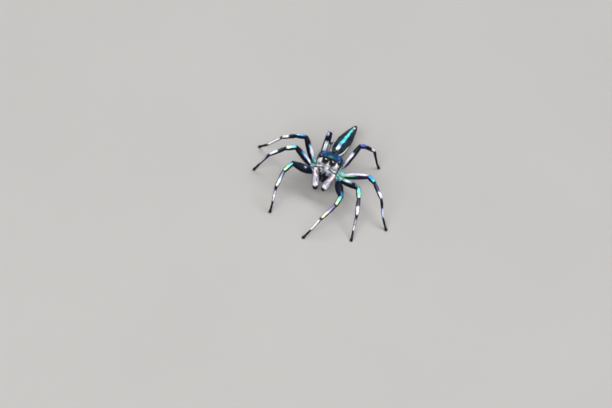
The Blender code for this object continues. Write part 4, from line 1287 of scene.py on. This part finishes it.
palp = {
    "joints": {
        "right": ((0.68, -1.20, -0.26), (0.77, -1.80, 0.07), (0.56, -1.98, -0.41), (0.23, -2.02, -1.44)),
        "left": ((0.68, -1.20, -0.26), (0.79, -1.80, 0.09), (0.61, -1.98, -0.42), (0.41, -2.02, -1.30)),
    },
    "femur": segment(22, 30, 0.08, 0.10, (0, 0.12), (0.5, 0.145), (1, 0.135)),
    "tibia": segment(
        20, 30, 0.10, 0.08, (0, 0.145, 0.15, 0.145), (0.4, 0.195, 0.20, 0.19), (1, 0.19, 0.195, 0.185)
    ),
    "tarsus": segment(
        36, 34, 0.10, 0.07, (0, 0.195, 0.20, 0.19), (0.3, 0.245, 0.245, 0.23), (0.65, 0.235, 0.235, 0.22),
        (0.85, 0.20, 0.20, 0.19), (1, 0.12)
    ),
    # part, from, to, middle angle, spread, colours along it, shine
    "marks": (
        ("femur", 0.45, 1.2, 0, 70, ("#e8e5ee", "#ffffff"), 0.0),
        # grey flanks round the white band: painted shade on the palp's rounded sides
        ("tibia", -0.3, 1.3, 0, 66, ("#988e9c",), 0.0),
        ("tibia", -0.3, 1.3, -8, 42, ("#fffcf0", "#f6e2de", "#fffafa", "#f4f2f8"), 0.0),
        ("tibia", 0.2, 0.8, 22, 9, ("#4c4450",), 0.0),
        ("tibia", 0.5, 1.0, -34, 8, ("#c08c98",), 0.0),
        # dark far side and grey flanks round the white band: painted shade on the palp's rounded sides and
        # underside
        ("tarsus", -0.3, 0.78, 180, 110, ("#4c4650", "#5c5660"), 0.0),
        ("tarsus", -0.3, 0.74, 0, 74, ("#9c96a6",), 0.0),
        ("tarsus", -0.3, 0.73, 0, 46, ("#f0ecf4", "#d4d0dc", "#f0f4fa", "#ffffff"), 0.0),
        ("tarsus", 0.0, 0.40, 24, 9, ("#645c6c",), 0.0),
        ("tarsus", 0.15, 0.55, -26, 7, ("#8c8494",), 0.0),
    ),
    # part, base tone, cover with scales, hair and bristles
    "parts": (
        ("femur", "#101015", (0.1, 0.8, 0.1)),
        ("tibia", "#1c1a20", (0.1, 1.0, 0.1)),
        ("tarsus", "#100c0e", (0.1, 1.2, 0.1)),
    ),
}


def makePalp(side):
    sign = sideSign(side)
    joints = [frontPoint((sign * x, y, z)) for x, y, z in palp["joints"][side]]
    reference = frontHeading((0.0, -0.9, 0.45))
    skin = newSkin()
    for k, (part, base, hair) in enumerate(palp["parts"]):
        own = [mark for mark in palp["marks"] if mark[0] == part]
        looks = {"slot": 1, "seed": 60 + k, "hair": hair}
        band = (0.0, 1.0, k / 3, k / 3 + 0.3)
        addLimbPart(skin, part, joints[k], joints[k + 1], palp[part], reference, sign, own, base, band, **looks)
    made = makeSkin(f"palp_{side}_skin", skin, [shellCuticle, softCuticle])
    place(made, [f"palp_{side}_femur", f"palp_{side}_tip"], "palp_scales")
    seed = 700 + (50 if side == "left" else 0)
    growCoat(f"palp_{side}_hair", made, "palp_scales", "palpHair", seed)
    growCoat(f"palp_{side}_bristles", made, "palp_scales", "palpBristles", seed + 1)


jaw = {
    # row, then x, y, z, half width and half depth in the front body's frame
    "stations": (
        (0.0, 0.23, -1.28, 0.24, 0.15, 0.14),
        (1.0, 0.24, -1.34, 0.08, 0.17, 0.19),
        (2.0, 0.24, -1.38, -0.20, 0.185, 0.20),
        (3.0, 0.23, -1.38, -0.54, 0.170, 0.19),
        (4.0, 0.20, -1.35, -0.84, 0.130, 0.15),
        (5.0, 0.15, -1.30, -1.02, 0.065, 0.08),
    ),
    "tone": "#15151b",
    "silver": "#c8ced8",
}


def makeJaw(side):
    sign = sideSign(side)
    skin = newSkin()
    sides = 40
    at = np.linspace(0, 5, 56)
    sizes = through(jaw["stations"], at)
    phi = 2 * math.pi * np.arange(sides) / sides
    spread, depth = sizes[:, 3:4] * np.cos(phi)[None], sizes[:, 4:5] * np.sin(phi)[None]
    grid = np.stack([sign * sizes[:, 0:1] + spread, sizes[:, 1:2] + depth, sizes[:, 2:3] + 0 * phi[None]], -1)
    grid = grid + ripple(grid, 0.25, 31)[..., None] * unevenness
    tt = np.repeat((at / 5)[:, None], sides, 1)
    upper = 1 - smooth(0.30, 0.50, tt + 0.06 * ripple(grid, 0.15, 34))
    streak = smooth(0.0, 0.35, ripple(grid * (1, 1, 0.45), 0.13, 35))
    upper = upper * (1 - 0.85 * streak)
    crest = np.exp(-(((tt - 0.15 - 0.03 * ripple(grid, 0.20, 36)) / 0.05) ** 2))
    crest = crest * np.broadcast_to(smooth(0.0, 0.5, -np.sin(phi)), tt.shape)
    # the sides that face each other are painted darker, with dark hair: painted shade between the two chelicerae
    facingShade = np.broadcast_to(smooth(0.5, 0.95, -np.cos(phi)), tt.shape)
    paint = layered(
        flood(tt, jaw["tone"], 0.2),
        ("#2c2a33", 0.3, np.clip(0.5 + 0.5 * ripple(grid, 0.3, 33), 0, 1) * 0.6),
        ("#0b0a0c", 0.0, smooth(0.72, 0.9, tt)),
        ("#6c727c", 0.0, upper * 0.8),
        ("#f4f2fa", 0.0, crest),
        ("#09090c", 0.0, facingShade),
    )
    setae = layered(flood(tt, "#121116"), (jaw["silver"], 0.0, upper * (1 - facingShade)), ("#ffffff", 0.0, crest))
    flat = np.ones_like(tt)
    lie = frontHeading(np.broadcast_to((0.0, -0.1, -1.0), grid.shape))
    furred = np.maximum(0.15 + 0.85 * upper, facingShade) * (1 - smooth(0.80, 0.95, tt))
    cover = np.stack([flat * 0.0, furred, flat * 0.4 * (1 - smooth(0.8, 0.95, tt))], -1)
    grain = grid[..., [2, 0, 1]]
    addShell(skin, frontPoint(grid), paint, setae, lie, grain, cover, (0, 1, 0, 0.9), 0)
    # folded fang along the lower end
    root, tip = frontPoint((sign * 0.21, -1.34, -0.92)), frontPoint((sign * 0.04, -1.22, -1.05))
    fang = segment(14, 18, 0.03, 0.0, (0, 0.05), (0.5, 0.035), (1, 0.006), bow=0.10)
    downward, looks = frontHeading((0, 0, -1.0)), {"seed": 3, "hair": (0, 0, 0)}
    addLimbPart(skin, "fang", root, tip, fang, downward, sign, [], "#2a0f08", (0, 0.3, 0.92, 0.98), **looks)
    made = makeSkin(f"chelicera_{side}_skin", skin, [shellCuticle, softCuticle])
    place(made, [f"chelicera_{side}"], "jaw_cuticle")
    growCoat(f"chelicera_{side}_hair", made, "jaw_cuticle", "jawHair", 820 + int(sign))
    growCoat(f"chelicera_{side}_bristles", made, "jaw_cuticle", "jawBristles", 830 + int(sign))


# Abdomen

abdomen = {
    "front": (-0.17, 1.56, 0.90),
    "tip": (0.29, 5.14, 1.17),
    "inset": 0.03,
    # fraction, half width, half height
    "stations": (
        (0.000, 0.14, 0.14),
        (0.020, 0.30, 0.30),
        (0.070, 0.46, 0.44),
        (0.160, 0.56, 0.53),
        (0.300, 0.61, 0.57),
        (0.450, 0.60, 0.56),
        (0.600, 0.54, 0.51),
        (0.740, 0.44, 0.42),
        (0.860, 0.33, 0.31),
        (0.950, 0.25, 0.24),
        (1.000, 0.19, 0.18),
    ),
    "darkTone": "#050912",
    "stripeHalf": 0.13,  # mm at its widest
    # across, up, length and radius of each, mm
    "spinnerets": (
        (0.06, -0.05, 0.09, 0.045),
        (-0.06, -0.05, 0.09, 0.045),
        (0.06, 0.05, 0.11, 0.045),
        (-0.06, 0.05, 0.11, 0.045),
        (0.02, 0.0, 0.07, 0.03),
        (-0.02, 0.0, 0.07, 0.03),
    ),
}


def abdomenFrame():
    a, b = np.array(abdomen["front"]) + bodyShift, np.array(abdomen["tip"]) + bodyShift
    axis = unit(b - a)
    across = unit(np.cross(axis, (0, 0, 1.0)))
    return a, b, axis, across, np.cross(across, axis)


def abdomenAxis(t):
    a, b = abdomenFrame()[:2]
    return a + (b - a) * np.asarray(t)[:, None]


def makeAbdomen():
    a, b, axis, across, up = abdomenFrame()
    inset = abdomen["inset"]
    sides = 120
    t = np.concatenate([np.linspace(0.004, 0.07, 22), np.linspace(0.08, 0.99, 120)])
    size = through(abdomen["stations"], t) - inset
    phi = 2 * math.pi * np.arange(sides) / sides  # 0 is the back
    side = size[:, 0:1] * np.sin(phi)[None]
    rise = size[:, 1:2] * np.cos(phi)[None]
    local = np.stack([np.repeat((t * np.linalg.norm(b - a))[:, None], sides, 1), side, rise], -1)
    rings = 0.006 * np.sin(t * 3.6 * 2 * math.pi / 0.30)[:, None] * np.clip(np.cos(phi), 0, 1)[None]
    swell = 1 + (ripple(local, 0.5, 51) * 0.006 + rings) / size[:, 0:1]
    side, rise = side * swell, rise * swell
    grid = abdomenAxis(t)[:, None] + across * side[..., None] + up * rise[..., None]
    tt = np.repeat(t[:, None], sides, 1)
    stray = ripple(local, 0.22, 52)
    above = rise > 0
    teal = ripple(local, 0.21, 53) * (0.7 + 0.8 * ripple(local, 0.63, 61))
    crimson = ripple(local, 0.17, 54) * ripple(local, 0.47, 62)
    # dark teal, crimson and blue patches: partly the scales' own hues, partly painted glints of their iridescence
    paint = layered(
        flood(tt, abdomen["darkTone"], 0.35),
        ("#0c5a5e", 0.5, smooth(-0.1, 0.3, teal) * 0.75),
        ("#7c1040", 0.4, smooth(0.2, 0.5, crimson) * 0.6),
        ("#20245c", 0.5, smooth(0.3, 0.7, ripple(local, 0.30, 58)) * 0.6),
    )
    # stripe down the back: white, a blue break, then cyan to the rear
    half = 1 - 0.40 * smooth(0.30, 0.85, tt) + 0.22 * ripple(local, 0.42, 55)
    half = abdomen["stripeHalf"] * half * smooth(0.02, 0.12, tt)
    stripe = 1 - smooth(half - 0.02, half + 0.02, np.abs(side) + stray * 0.02)
    stripe = stripe * above * smooth(0.07, 0.10, tt)
    stripeTone = layered(
        flood(tt, "#3cf0f8", 0.05),
        ("#b8fff8", 0.0, smooth(0.1, 0.5, ripple(local, 0.30, 56))),
        ("#1ccbe0", 0.1, smooth(0.2, 0.6, ripple(local, 0.27, 57)) * 0.8),
        ("#f4fff8", 0.0, 1 - smooth(0.18, 0.22, tt + stray * 0.01)),
        ("#0c84f4", 0.1, np.exp(-(((tt - 0.258) / 0.034) ** 2))),
        ("#30e0dc", 0.1, smooth(0.65, 0.85, tt)),
    )
    stripe = stripe * (1 - smooth(0.85, 0.88, tt))
    spot = (1 - smooth(0.6, 1.0, np.hypot((tt - 0.915) / 0.040, side / 0.13))) * above
    # thin pale line along each side near the front
    low = (1 - smooth(0.06, 0.09, np.abs(rise - 0.12))) * (1 - smooth(0.34, 0.44, tt)) * smooth(0.02, 0.04, tt)
    paint = layered(
        blendTone(paint, stripeTone, stripe),
        ("#ffd6d2", 0.0, spot),
        ("#0d0b10", 0.1, smooth(0.95, 0.98, tt)),
        ("#26313a", 0.2, (1 - smooth(-0.35, -0.2, rise)) * 0.8),
        ("#f8ffff", 0.0, low),
    )
    setae = layered(
        flood(tt, "#08080c"),
        ("#eafcff", 0.0, np.maximum(stripe * 0.8, low)),
        ("#a4acb4", 0.0, 1 - smooth(0.05, 0.11, tt + stray * 0.02)),
    )
    lie = np.broadcast_to(axis, grid.shape)
    flat = np.ones_like(tt)
    furred = flat * (0.4 + 1.2 * (1 - smooth(0.05, 0.12, tt)))
    bristled = flat * (0.3 + 0.9 * (1 - smooth(0.02, 0.10, tt)))
    skin = newSkin()
    cover = np.stack([flat, furred, bristled], -1)
    addShell(skin, grid, np.clip(paint, 0, 1), setae, lie, local, cover, (0, 1, 0, 1))
    made = makeSkin("abdomenSkin", skin, [shellCuticle])
    place(made, ["abdomen"], "abdomen_scales")
    growCoat("abdomenScales", made, "abdomen_scales", "abdomenScales", 901)
    growCoat("abdomenHair", made, "abdomen_scales", "abdomenHair", 902)
    growCoat("abdomenBristles", made, "abdomen_scales", "abdomenBristles", 903)


def makeSpinnerets():
    _, b, axis, across, up = abdomenFrame()
    skin = newSkin()
    seat = b + axis * 0.045
    upward = np.array((0, 0, 1.0))
    hair = (0.1, 1.0, 0.1)
    base = segment(8, 28, 0.05, 0.04, (0, 0.13), (1, 0.12))
    mark = ("base", -2, 2, 0, 200, ("#2a2228", "#352b30"), 0.0)
    band, looks = (0, 0.2, 0.9, 0.98), {"seed": 4, "hair": hair}
    addLimbPart(skin, "base", seat, seat + axis * 0.05, base, upward, 1.0, [mark], "#1b171c", band, **looks)
    mark = ("cone", 0.45, 0.9, 0, 200, ("#4b3d40", "#7a6a6a"), 0.0)
    for k, (x, z, length, radius) in enumerate(abdomen["spinnerets"]):
        root = seat + axis * 0.03 + across * x + up * z
        end = root + axis * length
        form = ((0, radius), (0.55, radius * 0.85), (0.62, radius * 0.7), (1, radius * 0.4))
        cone = segment(14, 20, 0.02, 0.015, *form)
        band, looks = (0, 0.5, k * 0.12, k * 0.12 + 0.1), {"seed": 5 + k, "hair": hair}
        addLimbPart(skin, "cone", root, end, cone, upward, 1.0, [mark], "#1f191c", band, **looks)
    tip = makeSkin("spinneretSkin", skin, [softCuticle])
    place(tip, ["spinnerets"], "spinneret_skin")
    growCoat("spinneretHair", tip, "spinneret_skin", "spinneretHair", 904)


# Eyes


def makeEyes():
    lat = math.pi * (np.arange(eyes["rings"]) + 1) / (eyes["rings"] + 1)
    away = np.repeat(np.sin(lat)[:, None], eyes["segments"], 1)
    paint = layered(
        flood(away, eyes["pitTone"]),
        (eyes["edgeTone"], 0.0, smooth(0.55, 0.98, away)),
        # a faint brown ring round the middle of the lens: a painted reflection
        (eyes["glowTone"], 0.0, smooth(0.15, 0.4, away) * (1 - smooth(0.55, 0.8, away)) * 0.5),
    )
    bare = np.zeros((*away.shape, 3))
    for name in eyeNames:
        for side in ("right", "left"):
            centre, radius, looks, ring = eyeFrame(name, side)
            bulge = np.where(np.cos(lat) > 0, 1.0 if name == "eye_front_main" else eyes["sideBulge"], 0.9)
            depth, width = np.cos(lat) * bulge * radius, np.sin(lat) * radius
            grid = centre + looks * depth[:, None, None] + ring[None] * width[:, None, None]
            lie = frontHeading(ring[None] + 0 * grid)
            skin = newSkin()
            addShell(skin, frontPoint(grid), paint, paint, lie, grid, bare, (0, 1, 0, 1))
            made = makeSkin(f"{name}_{side}_lens", skin, [lensMaterial])
            place(made, [f"{name}_{side}"], "eye_lens")


# Claws

claws = {
    "radius": 0.014,  # mm
    "apart": 0.045,
    "behind": 0.06,  # from the foot's end
    "ahead": 0.07,
    "tone": "#1b1210",
}


def makeClaws():
    skin = newSkin()
    form = segment(12, 12, 0.01, 0.0, (0, claws["radius"]), (0.6, 0.010), (1, 0.003), bow=0.28)
    upward = np.array((0, 0, 1.0))
    count = 0
    for pair in (1, 2, 3, 4):
        for side in ("right", "left"):
            joints = legJoints(pair, side)
            axis = unit(joints[-1] - joints[-2])
            level = unit(axis * (1, 1, 0))
            across = np.cross(level, (0, 0, 1.0))
            for way in (-1, 1):
                aside = across * way * claws["apart"]
                root = joints[-1] - axis * claws["behind"] + aside + np.array((0, 0, 0.02))
                tip = joints[-1] + level * claws["ahead"] + aside * 1.5 + np.array((0, 0, 0.016))
                band, looks = (0, 1, count / 16, count / 16 + 0.05), {"seed": count, "hair": (0, 0, 0)}
                addLimbPart(skin, "claw", root, tip, form, upward, 1.0, [], claws["tone"], band, **looks)
                count += 1
    made = makeSkin("claws", skin, [shellCuticle])
    place(made, [], "leg_cuticle")


body = makeFrontBody()
tell("front body")
growCoat("carapaceScales", body, "carapace_scales", "carapaceScales", 11)
growCoat("faceHair", body, "carapace_scales", "faceHair", 12)
growCoat("beardHair", body, "carapace_scales", "beardHair", 14)
growCoat("frontBristles", body, "carapace_scales", "frontBristles", 13)
makeEyes()
tell("eyes")
for side in ("right", "left"):
    makeJaw(side)
    makePalp(side)
tell("jaws and palps")
for pair in (1, 2, 3, 4):
    for side in ("right", "left"):
        makeLeg(pair, side)
tell("legs")
makeAbdomen()
makeSpinnerets()
makeClaws()
tell("abdomen and claws")

for group in (scaleSet, hairSet, bristleSet):
    for made in list(group.objects):
        bpy.data.objects.remove(made)
    bpy.data.collections.remove(group)
print(f"coat: {sum(coatCounts)} triangles")
